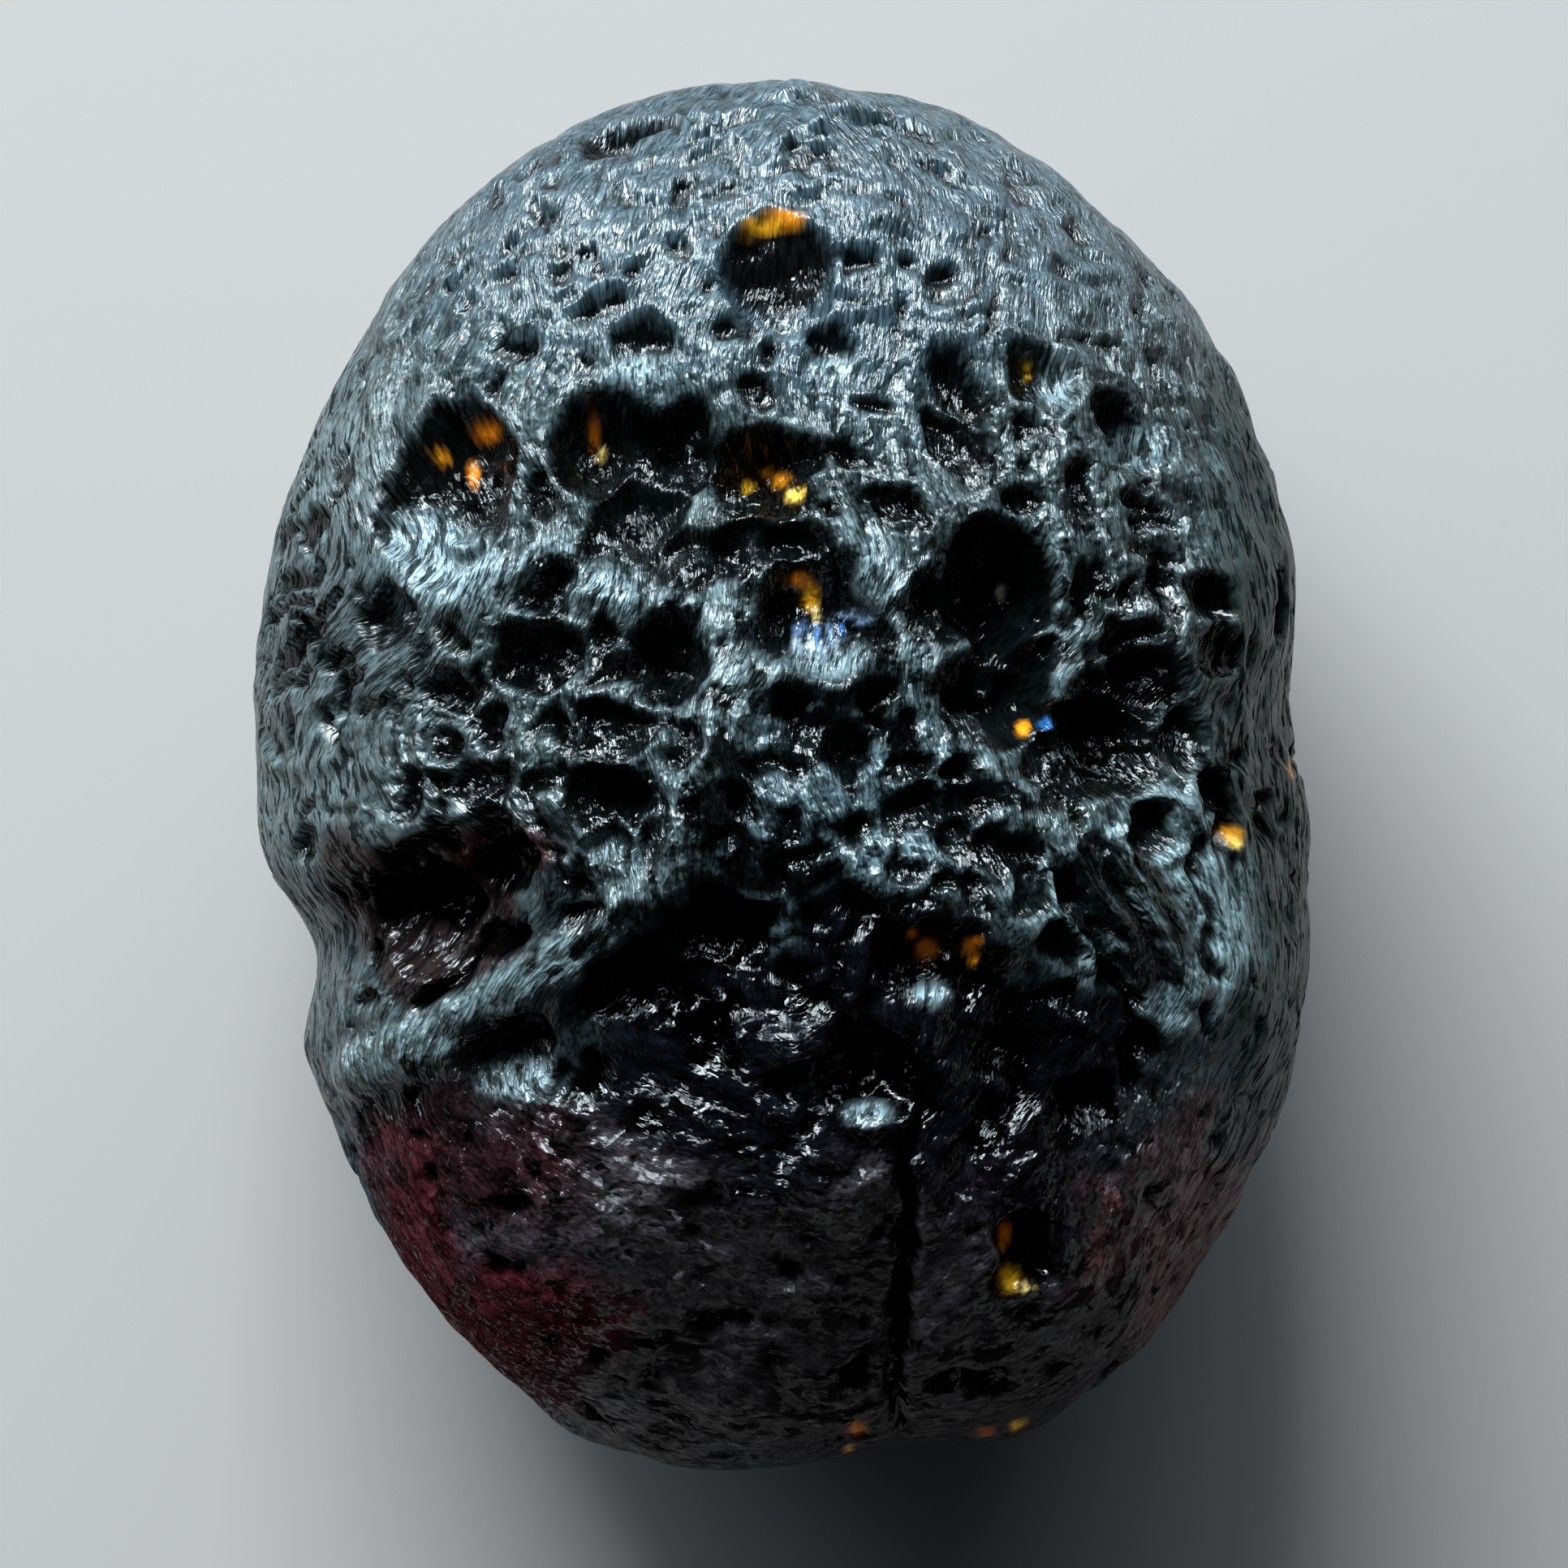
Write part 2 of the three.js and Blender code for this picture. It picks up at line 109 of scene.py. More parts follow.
def directions_to(x, y, side):
    """The directions whose points lie over (side 1) or under (side -1) places of the plan: the oval's
    formula, solved for the direction."""
    angle = np.arctan2(y, x)
    flat = np.minimum(RIM_SHARE, np.hypot(x, y) / outline_radius(angle)) ** (FULLNESS / 2)
    return np.stack([flat * np.cos(angle), flat * np.sin(angle), side * np.sqrt(1 - flat**2)], 1)


ends = oval_points(np.array([(1, 0, 0), (0, 1, 0), (-1, 0, 0), (0, -1, 0)]))
print("smooth stone, mm:", np.ptp(ends[:, 0]).round(1), "wide,", np.ptp(ends[:, 1]).round(1), "long")

# %% [markdown]
# ## Swellings, hollows and crests
# A splash is never a clean oval. Three slow waves make its skin uneven, and a list of broad hollows follows
# the real one's: the dark hollows in the lower half and the sunken middle. Each is a soft bell of its own
# radius and depth, and a swelling is a hollow with a negative depth.
#
# Between the hollows the old skin is left standing as crests. A crest is a line of a few places, and the skin
# rises over it by a bell of the distance to that line.

# %% The broad relief
WAVES = [  # height, waves per millimetre along X, Y and Z times 2 pi, phase
    (0.3, 0.21, 0.16, 0.1, 0.6), (0.2, -0.27, 0.31, 0.24, 2.1), (0.14, 0.43, 0.22, -0.35, 4.0),
]
HOLLOWS = np.array([  # x, y, side, radius, depth
    (0.5, 4.0, 1, 11.0, 0.9), (-3.4, -6.4, 1, 4.0, 0.6), (10.8, -8.8, 1, 4.0, 0.5),
    (-11.2, -11.6, 1, 2.6, 0.5), (13.6, 3.6, 1, 5.0, 0.6), (-20.8, 1.0, 1, 3.2, 0.4),
    (4.9, -21.5, 1, 2.6, 0.5), (0.0, 24.6, 1, 4.5, -0.3), (-19.0, -11.4, 1, 3.2, -0.4),
    (-9.6, 22.0, 1, 5.0, -0.3), (-7.5, 9.5, -1, 6.0, 1.0), (9.0, -10.5, -1, 6.5, 1.1),
    (10.5, 12.5, -1, 4.5, 0.8), (-11.0, -13.0, -1, 5.0, 0.8), (-15.0, 2.0, -1, 4.0, -0.5),
])
HOLLOW_CENTRES = oval_points(directions_to(*HOLLOWS[:, :3].T))
CRESTS = [  # height, half width, places of the line
    (0.7, 1.1, [(-17.0, -11.8), (-13.8, -10.5), (-10.6, -8.6), (-7.4, -6.7), (-4.6, -4.2), (-3.5, -1.8),
                (-2.5, 1.4), (-2.2, 3.8), (-2.7, 7.0)]),
    (0.25, 0.75, [(4.6, 6.6), (6.2, 3.5), (8.0, 0.8), (10.0, -1.6), (12.4, -3.6), (15.0, -8.0)]),
    (0.15, 0.55, [(11.5, 12.6), (11.4, 8.0), (11.5, 3.4)]),
    (0.35, 0.8, [(13.8, -3.0), (15.4, -5.0), (16.8, -8.6)]),
    (0.3, 0.7, [(-13.4, 7.0), (-11.0, 8.4), (-8.6, 9.2)]),
    (0.3, 0.6, [(-6.8, 9.0), (-5.0, 7.2), (-3.4, 8.6)]),
    (0.25, 0.6, [(-0.6, 4.0), (2.0, 3.7), (4.4, 4.9)]),
    (0.3, 0.8, [(4.4, 7.6), (2.6, 10.0)]),
]


def line_distance(points, line):
    """Each point's distance in plan to the nearest place on a line of straight steps. A step's nearest place
    is the point's shadow on it, held between its two ends. The underside is out of every line's reach."""
    nearest = np.full(len(points), np.inf)
    line = np.array(line)
    for start, step in zip(line[:-1], np.diff(line, axis=0)):
        apart = points[:, :2] - start
        share = np.clip(apart @ step / (step @ step), 0, 1)
        nearest = np.minimum(nearest, np.hypot(*(apart - share[:, None] * step).T))
    return np.where(points[:, 2] > 0, nearest, np.inf)


def relief(points):
    """How far the skin stands out of the oval: the sum of the slow waves, less each hollow's depth times
    e to the power of minus its squared distance over its squared radius. Each crest adds its height times e
    to the power of minus the fourth power of the distance to its line over its half width."""
    high = sum(size * np.sin(points @ (kx, ky, kz) + phase) for size, kx, ky, kz, phase in WAVES)
    for centre, (radius, depth) in zip(HOLLOW_CENTRES, HOLLOWS[:, 3:]):
        high -= depth * np.exp(-((points - centre) ** 2).sum(1) / radius**2)
    for height, width, line in CRESTS:
        high += height * np.exp(-(line_distance(points, line) / width) ** 4)
    return high


def skin_points(directions):
    """The smooth stone: the oval moved outwards by its broad relief."""
    points = oval_points(directions)
    return points + relief(points)[:, None] * outward(points)


print(len(HOLLOWS), "hollows and swellings,", len(CRESTS), "crests")

# %% [markdown]
# ## Bubble pits
# Each pit is the open half of a bubble. A pit could be cut with a boolean, but hundreds of cuts leave slivers
# and hard facets. A formula is calmer: every pit says how deep it lies under each point of the skin, and
# where pits meet the deepest one wins, which leaves the sharp ridges that the real stone has between them.
#
# The large ones are listed by place, size, turn and depth, because their pattern is what makes this stone
# this one.

# %% The list of pits on the upper side
UPPER_PITS = [  # x, y, half width, half length, turn in degrees, depth
    # The smooth cap.
    (-6.6, 26.2, 2.0, 1.3, 15, 1.2), (-9.6, 22.4, 0.6, 0.45, 0, 0.52), (-7.6, 20.3, 0.85, 0.75, 0, 0.68),
    (-6.0, 20.3, 0.6, 0.35, 20, 0.45), (-4.3, 21.4, 0.65, 0.5, 0, 0.6), (-7.0, 21.6, 0.5, 0.3, 0, 0.38),
    (-5.4, 22.6, 0.5, 0.35, 0, 0.45), (-7.3, 24.3, 0.45, 0.3, 0, 0.38), (-4.2, 24.1, 0.45, 0.3, 0, 0.38),
    (-2.0, 23.8, 0.5, 0.25, 0, 0.3), (-13.4, 19.5, 0.4, 0.35, 0, 0.45), (-5.7, 17.6, 1.4, 1.3, 0, 0.9),
    (-1.8, 18.4, 1.0, 0.85, 0, 0.75), (-7.5, 18.6, 0.5, 0.4, 0, 0.45), (2.0, 17.4, 1.05, 1.05, 0, 0.85),
    (3.0, 21.1, 0.9, 0.55, 0, 0.75), (4.9, 20.7, 0.55, 0.45, 0, 0.6), (6.5, 19.9, 0.75, 0.85, 0, 0.6),
    (4.7, 19.2, 0.3, 0.7, 0, 0.52), (8.4, 19.0, 0.35, 0.7, 0, 0.52), (-10.8, 21.2, 0.35, 0.6, 0, 0.38),
    (-10.8, 17.2, 1.0, 0.6, 0, 0.52), (-3.1, 19.8, 0.5, 0.35, 0, 0.45), (12.3, 17.7, 0.35, 0.3, 0, 0.38),
    (13.3, 17.4, 0.3, 0.3, 0, 0.38), (14.9, 19.1, 0.3, 0.3, 0, 0.38),
    # The row of large bubbles under the cap.
    (-13.6, 11.5, 3.2, 4.1, -10, 2.5), (-7.8, 13.4, 1.8, 2.2, 0, 1.8), (-4.8, 13.6, 2.3, 1.9, 0, 1.7),
    (-6.1, 9.9, 2.3, 2.9, 0, 1.4), (-0.7, 12.3, 2.4, 2.2, 0, 2.0), (7.3, 15.7, 0.8, 1.8, 15, 0.9),
    (10.4, 15.9, 1.6, 1.4, 0, 1.3), (14.1, 13.7, 2.5, 1.5, -48, 1.6), (15.2, 16.5, 1.2, 0.3, -40, 0.4),
    (2.5, 13.2, 1.2, 0.7, -15, 0.7), (3.7, 15.0, 1.1, 0.45, -12, 0.4), (4.6, 11.1, 1.7, 1.0, -12, 0.95),
    (7.0, 13.5, 0.85, 2.0, 20, 1.0), (9.6, 11.3, 0.8, 0.7, 0, 0.6), (8.3, 15.2, 0.5, 0.5, 0, 0.4),
    (2.1, 10.7, 0.45, 0.6, 0, 0.4), (12.2, 11.6, 0.6, 1.5, 30, 0.6), (15.0, 11.1, 1.8, 0.5, -5, 0.5),
    (15.4, 10.2, 1.7, 0.5, -6, 0.55), (15.2, 9.3, 1.9, 0.5, -4, 0.5),
    # The crowded middle.
    (0.2, 2.9, 1.1, 0.9, 0, 0.9), (2.6, 1.2, 1.8, 0.9, 0, 0.8), (5.3, 0.4, 0.9, 0.8, 0, 0.8),
    (7.1, 0.0, 0.8, 0.6, 0, 0.5), (6.0, -1.3, 0.9, 0.6, 0, 0.6), (11.9, 0.6, 0.45, 1.6, 0, 0.9),
    (1.0, -3.4, 1.2, 0.8, 20, 0.7), (7.4, -2.6, 1.0, 0.7, -20, 0.7), (3.4, -5.0, 1.3, 0.8, 0, 0.7),
    (9.9, -4.9, 1.1, 0.7, 30, 0.7), (11.4, -7.0, 0.9, 1.3, 30, 0.7), (-5.0, -0.6, 0.6, 1.2, -10, 0.6),
    (1.6, 6.5, 2.9, 2.6, 0, 2.0), (0.2, 9.3, 2.0, 1.2, 0, 1.2), (-1.9, 9.4, 1.6, 1.1, 0, 0.9),
    (-9.5, 7.5, 1.5, 1.4, 10, 1.2), (-10.0, 4.8, 1.9, 1.8, 0, 1.6), (-4.8, 4.6, 2.0, 2.0, 0, 1.7),
    (-3.9, 8.6, 1.2, 1.6, 0, 1.1), (-6.8, 4.2, 0.9, 0.8, 0, 0.9), (-7.1, 5.7, 0.9, 0.7, 0, 0.7),
    (-6.7, 1.8, 1.7, 1.2, 10, 1.0), (-6.8, -0.8, 1.8, 1.6, 0, 1.5), (-7.0, -2.9, 1.2, 0.9, 0, 0.9),
    (-2.8, -1.3, 1.4, 1.4, 0, 1.0), (-4.0, 1.2, 0.8, 1.4, -25, 0.8), (-16.2, 6.6, 1.3, 1.4, 0, 0.9),
    (-13.9, 1.4, 1.0, 1.0, 0, 0.55), (-13.5, 3.4, 1.3, 0.9, 0, 0.7), (-11.9, 1.9, 0.9, 0.9, 0, 0.6),
    (-12.3, -0.6, 1.4, 1.2, 0, 0.8), (-15.2, -0.7, 0.8, 1.2, -10, 0.6), (-13.5, 5.4, 0.9, 0.6, 0, 0.45),
    (-14.7, 4.7, 0.35, 0.6, 0, 0.3), (-12.0, 5.3, 0.5, 0.8, 0, 0.35), (-9.8, -0.6, 1.0, 0.8, 0, 0.5),
    (-9.4, 1.8, 0.9, 0.8, 0, 0.5), (-10.9, 9.0, 0.9, 0.7, 0, 0.4), (-9.7, 11.1, 0.8, 1.2, 10, 0.6),
    (1.5, 1.8, 1.5, 0.9, 0, 0.7), (4.0, 1.8, 0.95, 0.85, 0, 0.55), (3.6, 3.8, 1.2, 0.9, 0, 0.6),
    (0.8, 3.1, 0.8, 0.7, 0, 0.5), (5.5, 0.5, 0.9, 0.7, 0, 0.5), (2.6, 0.2, 0.8, 0.65, 0, 0.45),
    (-0.6, 0.6, 0.8, 0.7, 0, 0.5), (0.4, -2.2, 1.1, 0.8, 0, 0.6), (3.0, -2.0, 0.9, 0.7, 0, 0.5),
    (6.4, -1.8, 1.1, 0.8, 0, 0.5), (8.6, -0.6, 0.8, 0.7, 0, 0.5), (5.0, -3.9, 1.0, 0.7, 0, 0.45),
    (9.0, -3.3, 1.0, 0.8, 0, 0.5), (2.0, -4.2, 0.9, 0.6, 0, 0.45), (-0.4, -4.4, 0.8, 0.6, 0, 0.4),
    # The pair of deep bubbles and the broken ground beside them.
    (8.9, 7.4, 2.5, 3.1, 0, 3.0), (9.2, 3.4, 2.3, 2.6, 5, 2.6), (9.3, 5.4, 1.7, 1.7, 0, 2.6),
    (6.2, 6.4, 1.3, 1.5, 0, 1.3), (10.0, 1.9, 1.1, 0.9, 0, 0.9), (15.4, 7.7, 0.9, 1.7, 10, 0.9),
    (17.5, 7.2, 1.6, 1.4, 0, 1.0), (17.8, 5.0, 1.4, 0.9, 0, 0.8), (20.4, 6.9, 1.1, 1.8, 0, 0.9),
    (12.8, 3.4, 0.9, 0.9, 0, 0.6), (15.2, 3.9, 1.8, 1.4, 0, 1.3), (13.8, 1.2, 2.6, 2.2, 0, 2.0),
    (16.6, 1.4, 1.2, 1.6, 10, 1.0), (17.6, -0.8, 1.2, 1.0, 0, 1.0), (18.2, -2.3, 0.95, 0.95, 0, 0.9),
    (19.9, -1.8, 1.1, 1.1, 45, 0.9), (15.2, -2.2, 1.3, 1.1, 0, 1.2), (14.2, 5.6, 1.2, 1.0, 0, 0.7),
    (12.5, 7.4, 0.7, 1.3, 0, 0.5), (12.7, -5.2, 0.8, 2.2, 34, 0.7), (14.8, -7.1, 0.7, 1.8, 34, 0.6),
    (13.2, -2.8, 1.0, 0.8, 0, 0.5), (19.3, -8.4, 0.35, 0.3, 0, 0.25), (19.2, -10.5, 0.5, 0.65, 0, 0.3),
    (17.2, -9.9, 0.5, 0.5, 0, 0.3),
    # The side of the waist.
    (-20.2, 1.5, 0.9, 1.3, 0, 0.8), (-18.8, 1.6, 0.7, 1.2, 0, 0.7), (-19.8, -0.4, 0.6, 0.5, 0, 0.3),
    (-19.4, -3.0, 1.3, 0.5, 8, 0.5), (-19.4, -1.6, 1.2, 0.4, 35, 0.35), (-18.0, 2.8, 0.35, 0.5, 0, 0.3),
    (-18.2, 4.5, 0.35, 0.5, 0, 0.3), (-18.4, -12.5, 0.6, 1.1, 10, 0.6), (-18.3, -14.3, 0.7, 0.4, 0, 0.4),
    (-16.2, -15.0, 0.4, 0.7, 10, 0.35),
    # The dark hollows and the lower middle.
    (-14.6, -5.4, 1.8, 1.6, 0, 0.9), (-11.7, -3.8, 1.9, 1.3, 20, 0.9), (-12.8, -7.6, 1.2, 0.9, 30, 0.5),
    (-16.7, -7.4, 0.8, 0.9, 0, 0.4), (-2.5, -6.3, 2.1, 1.7, 0, 1.3), (-6.5, -8.5, 1.9, 1.5, 20, 1.0),
    (0.7, -8.6, 1.1, 1.3, 0, 0.8), (-2.8, -11.3, 1.6, 1.2, 0, 0.8), (-4.3, -9.6, 1.2, 0.9, 0, 0.6),
    (-11.6, -11.3, 2.4, 1.7, 25, 1.1), (-8.2, -12.7, 1.3, 1.0, 0, 0.6), (-5.6, -14.4, 1.2, 0.8, 0, 0.4),
    (5.6, -7.4, 1.9, 1.8, 0, 1.5), (7.6, -7.5, 0.9, 1.5, 0, 1.1), (3.7, -12.2, 2.3, 2.0, 0, 1.6),
    (11.7, -9.4, 0.7, 0.8, 0, 0.4), (9.2, -11.6, 1.6, 1.4, 0, 0.7), (12.3, -13.9, 2.0, 1.5, 0, 0.9),
    (14.6, -11.3, 1.0, 1.3, 0, 0.5), (8.4, -14.6, 1.2, 1.0, 0, 0.5), (1.2, -5.9, 0.9, 0.7, 0, 0.5),
    (-0.2, -12.9, 0.9, 0.8, 0, 0.5),
    # The long crack and the lower end.
    (9.7, -19.2, 1.5, 2.0, 0, 1.7), (2.8, -24.6, 1.0, 1.2, 0, 0.9), (2.4, -27.2, 1.0, 0.7, 0, 0.7),
    (6.2, -27.6, 1.0, 0.8, 0, 0.8), (7.8, -24.9, 1.7, 1.1, 0, 0.9), (13.4, -24.4, 0.9, 0.4, 42, 0.5),
    (15.4, -17.4, 0.5, 0.4, 0, 0.3), (14.6, -18.8, 0.4, 0.35, 0, 0.25), (-7.6, -26.0, 1.2, 0.7, -38, 0.6),
    (-3.0, -22.3, 0.9, 0.8, 0, 0.4), (-0.3, -23.5, 0.7, 0.5, 0, 0.4), (-9.4, -22.9, 0.5, 0.4, 0, 0.3),
    (-5.7, -22.9, 0.4, 0.4, 0, 0.3), (-2.0, -27.2, 0.8, 0.6, 0, 0.5), (-13.3, -18.2, 0.5, 0.45, 0, 0.3),
    (-11.0, -17.3, 1.0, 0.7, 0, 0.5), (-3.0, -17.4, 1.3, 1.0, 0, 0.4),
]
print(len(UPPER_PITS), "pits listed for the upper side")

# %% [markdown]
# The underside and the flanks are pitted too, but nothing about their pattern is known, so their pits are
# spread evenly by the golden angle, as seeds are in a sunflower. Their sizes come from a number that looks
# random and is the same each time. None comes near the flat spot, which has to stay whole to lie on.

# %% Pits of the underside and the flanks
UNDER_PITS, UNDER_TOP = 84, -0.12  # how many, and how high up the ball of directions they reach
UNDER_RADIUS, UNDER_LONGER, UNDER_DEPTH = (0.9, 3.2), 0.4, 0.6  # from and to, and shares of the radius
CLEAR_OF_REST = 6.8  # radius of the place in the middle that is left free
GOLDEN_ANGLE = np.pi * (3 - np.sqrt(5))
SCATTER_STEP, SCATTER_SIZE = 12.9898, 43758.5453  # uneven numbers, the second one large
FOR_RADIUS, FOR_LENGTH, FOR_TURN = 1, 101, 201  # where in the scattered numbers each value starts


def scatter(i):
    """A repeatable number from 0 to 1 for each whole number: the fraction of a large multiple of a sine."""
    big = np.sin(i * SCATTER_STEP) * SCATTER_SIZE
    return big - np.floor(big)


def spiral_directions(count, lowest, highest):
    """Even directions between two heights on the ball: even steps in height, golden-angle turns."""
    i = np.arange(count)
    z = highest - (highest - lowest) * (i + 0.5) / count
    flat = np.sqrt(1 - z**2)
    return np.stack([flat * np.cos(i * GOLDEN_ANGLE), flat * np.sin(i * GOLDEN_ANGLE), z], 1)


def under_pits():
    """The directions of these pits, and rows of half width, half length, turn and depth. The radius goes by
    the square of its scattered number, so that small pits are more common than large ones."""
    i = np.arange(UNDER_PITS)
    directions = spiral_directions(UNDER_PITS, -1, UNDER_TOP)
    smallest, largest = UNDER_RADIUS
    radius = smallest + (largest - smallest) * scatter(i + FOR_RADIUS) ** 2
    length = radius * (1 + UNDER_LONGER * scatter(i + FOR_LENGTH))
    sizes = np.stack([radius, length, 180 * scatter(i + FOR_TURN), UNDER_DEPTH * radius], 1)
    keep = np.hypot(*oval_points(directions)[:, :2].T) >= CLEAR_OF_REST + radius
    return directions[keep], sizes[keep]


listed = np.array(UPPER_PITS)
under_directions, under_sizes = under_pits()
PIT_DIRECTIONS = np.concatenate([directions_to(listed[:, 0], listed[:, 1], 1), under_directions])
PIT_SIZES = np.concatenate([listed[:, 2:], under_sizes])
print(len(PIT_SIZES), "large pits in all")

# %% [markdown]
# ## Bowls
# Pits, basins, cups and knobs are all bowls, let into the skin or set on it. Each is looked up in axes of its
# own, so that one on a steep flank isn't squashed. The flow drew the bubbles out before they froze, so a pit
# is deeper on the side of the cap.
#
# Basins are wide, soft bowls that hold whole groups of pits. Cups have nearly upright walls and are deeper at
# their lower edge: the dark hollow over the waist and the large bubble of the cap.

# %% Bowls
BASINS = np.array([  # x, y, half width, half length, turn, depth
    (-1.4, -11.0, 8.4, 6.8, 22, 1.2), (10.4, -13.2, 5.4, 6.4, 0, 1.1), (14.4, 1.8, 3.4, 4.4, 0, 0.7),
    (-5.8, 12.4, 4.4, 3.2, 0, 0.6), (-7.3, 4.0, 4.4, 3.4, 0, 0.6), (15.6, 9.8, 2.4, 2.6, 0, 0.5),
    (7.2, 14.2, 2.2, 3.0, 0, 0.4), (1.6, 1.6, 3.6, 2.0, 0, 0.5), (6.0, -2.6, 3.6, 2.4, -30, 0.4),
    (-13.2, 1.4, 3.2, 3.2, 0, 0.4),
])
CUPS = np.array([(-13.2, -4.9, 4.4, 3.0, 30, 1.9), (-0.3, 20.4, 2.4, 2.8, 0, 1.7)])
STEEPNESS = 0.75  # power of the bowl's curve: 0.5 is half a ball with upright walls, 1 is a soft dish
CUP_STEEPNESS, SMALL_STEEPNESS = 0.4, 0.9
SKEW, BASIN_SKEW, CUP_SKEW = 0.45, 0.8, -0.5  # share by which each kind is deeper towards the cap
SEARCH = 1.4  # a bowl is looked for this many half sizes round its middle
TINY = 1e-6  # keeps a bowl that faces straight down from dividing by nothing


def turned(u, v, degrees):
    """Two coordinates, measured along axes that are turned to the left by some degrees: u cos + v sin, and
    v cos - u sin."""
    c, s = np.cos(np.radians(degrees)), np.sin(np.radians(degrees))
    return u * c + v * s, v * c - u * s


def tipped_axes(centres):
    """Three axes for each bowl: the third is outwards, and the first two are X and Y tipped over with it by
    the shortest turn."""
    n = outward(centres)
    x, y, z = n.T
    k = 1 / np.maximum(1 + z, TINY)
    first = np.stack([1 - k * x * x, -k * x * y, -x], 1)
    second = np.stack([-k * x * y, 1 - k * y * y, -y], 1)
    return first, second, n


def bowl_depth(points, directions, sizes, steepness=STEEPNESS, skew=0.0):
    """The deepest bowl under each point: a bowl's depth times (1 - s squared) to the power of its steepness,
    where s is the distance from its middle over its half size, so 1 at the rim. A skewed one is deeper on
    the side of the cap."""
    depth = np.zeros(len(points))
    centres = skin_points(directions)
    for centre, first, second, n, (wide, long, turn, deep) in zip(centres, *tipped_axes(centres), sizes):
        reach = max(wide, long)
        near = np.flatnonzero((np.abs(points[:, :2] - centre[:2]) < SEARCH * reach).all(1))
        place = points[near] - centre
        near, place = (part[np.abs(place @ n) < reach] for part in (near, place))
        up = place @ second
        u, v = turned(place @ first, up, turn)
        inside = 1 - (u / wide) ** 2 - (v / long) ** 2
        bowl = deep * np.maximum(inside, 0) ** steepness * (1 + skew * up / reach)
        depth[near] = np.maximum(depth[near], bowl)
    return depth


def listed_depth(points, rows, steepness=STEEPNESS, skew=0.0):
    """The deepest bowl of a list of the upper side."""
    return bowl_depth(points, directions_to(rows[:, 0], rows[:, 1], 1), rows[:, 2:], steepness, skew)


print(len(BASINS), "basins and", len(CUPS), "cups")

# %% [markdown]
# ## The small pits
# Most pits are too small and too many to list. They are spread evenly, jostled a little, and most of those
# outside the crowded middle are left out. The dice are seeded, so that every run makes the same stone.

# %% The small pits
SMALL_PITS, JOSTLE, SMALL_SEED = 4200, 0.03, 7  # how many, how uneven, and the dice's seed
CROWD_MIDDLE, CROWD_SIZE = (2.0, -0.5), (15.0, 15.0)
KEPT_OUTSIDE = 0.22  # share of the small pits that stays where there is no crowd
SMALL_RADIUS, MORE_RADIUS, CROWD_RADIUS = 0.24, 0.35, 0.5  # least, most to add, and most to add in the crowd
SMALL_LONGER = 0.6  # share of the radius by which the length may be more
SMALL_DEPTH, MORE_DEPTH = 0.4, 0.5  # shares of the radius: least, and most to add


def crowding(points):
    """1 in the crowded middle of the upper side and 0 far from it: a bell of the fourth power of the
    distance over the crowd's half sizes."""
    far = (((points[:, :2] - CROWD_MIDDLE) / CROWD_SIZE) ** 2).sum(1)
    return np.where(points[:, 2] > 0, np.exp(-(far**2)), 0)


def more_in_crowd(outside, crowd):
    """A strength that is 1 in the crowded middle and a given one outside it."""
    return outside + (1 - outside) * crowd


def small_pits():
    """Directions and sizes of the small pits, in the same way as for the underside."""
    rng = np.random.default_rng(SMALL_SEED)
    directions = unit(spiral_directions(SMALL_PITS, -1, 1) + rng.normal(0, JOSTLE, (SMALL_PITS, 3)))
    crowd = crowding(oval_points(directions))
    keep = rng.random(SMALL_PITS) < more_in_crowd(KEPT_OUTSIDE, crowd)
    directions, crowd = directions[keep], crowd[keep]
    count = len(crowd)
    radius = SMALL_RADIUS + (MORE_RADIUS + CROWD_RADIUS * crowd) * rng.random(count) ** 2
    length = radius * (1 + SMALL_LONGER * rng.random(count))
    turn = 180 * rng.random(count)
    depth = radius * (SMALL_DEPTH + MORE_DEPTH * rng.random(count))
    return directions, np.stack([radius, length, turn, depth], 1)


small_directions, small_sizes = small_pits()
print(len(small_sizes), "small pits")

# %% [markdown]
# ## Lips, knobs and grooves
# Round some open bubbles the glass stands up as a thin lip, as the edge of a burst blister does. A lip
# follows an oval line and a groove follows a line of straight steps, as a crest does: the long crack of the
# lower end, the cracks beside the pair of deep bubbles, and short ones on the left flank. A knob is a small
# bowl set on the skin. None of them is a separate thing: they only move the skin, so that it stays one
# closed surface.

# %% Lips, knobs and grooves
LIPS = np.array([  # x, y, half width, half length, turn, height of the lip round an open bubble
    (-0.3, 20.4, 2.45, 2.4, 0, 0.28), (-13.2, 10.0, 0.8, 0.75, 0, 0.7), (-13.75, 1.2, 0.85, 0.85, 0, 0.5),
    (-7.4, 20.25, 0.85, 0.65, 0, 0.2), (-20.1, 1.5, 0.95, 1.35, 0, 0.2), (-18.7, 1.6, 0.75, 1.2, 0, 0.2),
    (-3.8, 1.2, 0.7, 1.5, -30, 0.3), (4.0, 1.7, 0.75, 0.65, 0, 0.25), (-6.8, -2.9, 1.1, 0.8, 0, 0.25),
    (-5.7, 17.6, 1.45, 1.3, 0, 0.15), (2.0, 17.4, 1.1, 1.1, 0, 0.15), (-10.0, 4.8, 1.95, 1.85, 0, 0.2),
    (-4.8, 4.6, 2.05, 2.0, 0, 0.2), (10.7, 15.8, 1.7, 1.4, 0, 0.2), (17.6, -0.8, 1.2, 1.0, 0, 0.15),
    (15.2, -2.2, 1.35, 1.15, 0, 0.2), (12.0, -9.4, 0.75, 0.85, 0, 0.2), (-0.5, -10.8, 0.9, 0.8, 0, 0.2),
])
LIP_WIDTH = 0.24  # half width
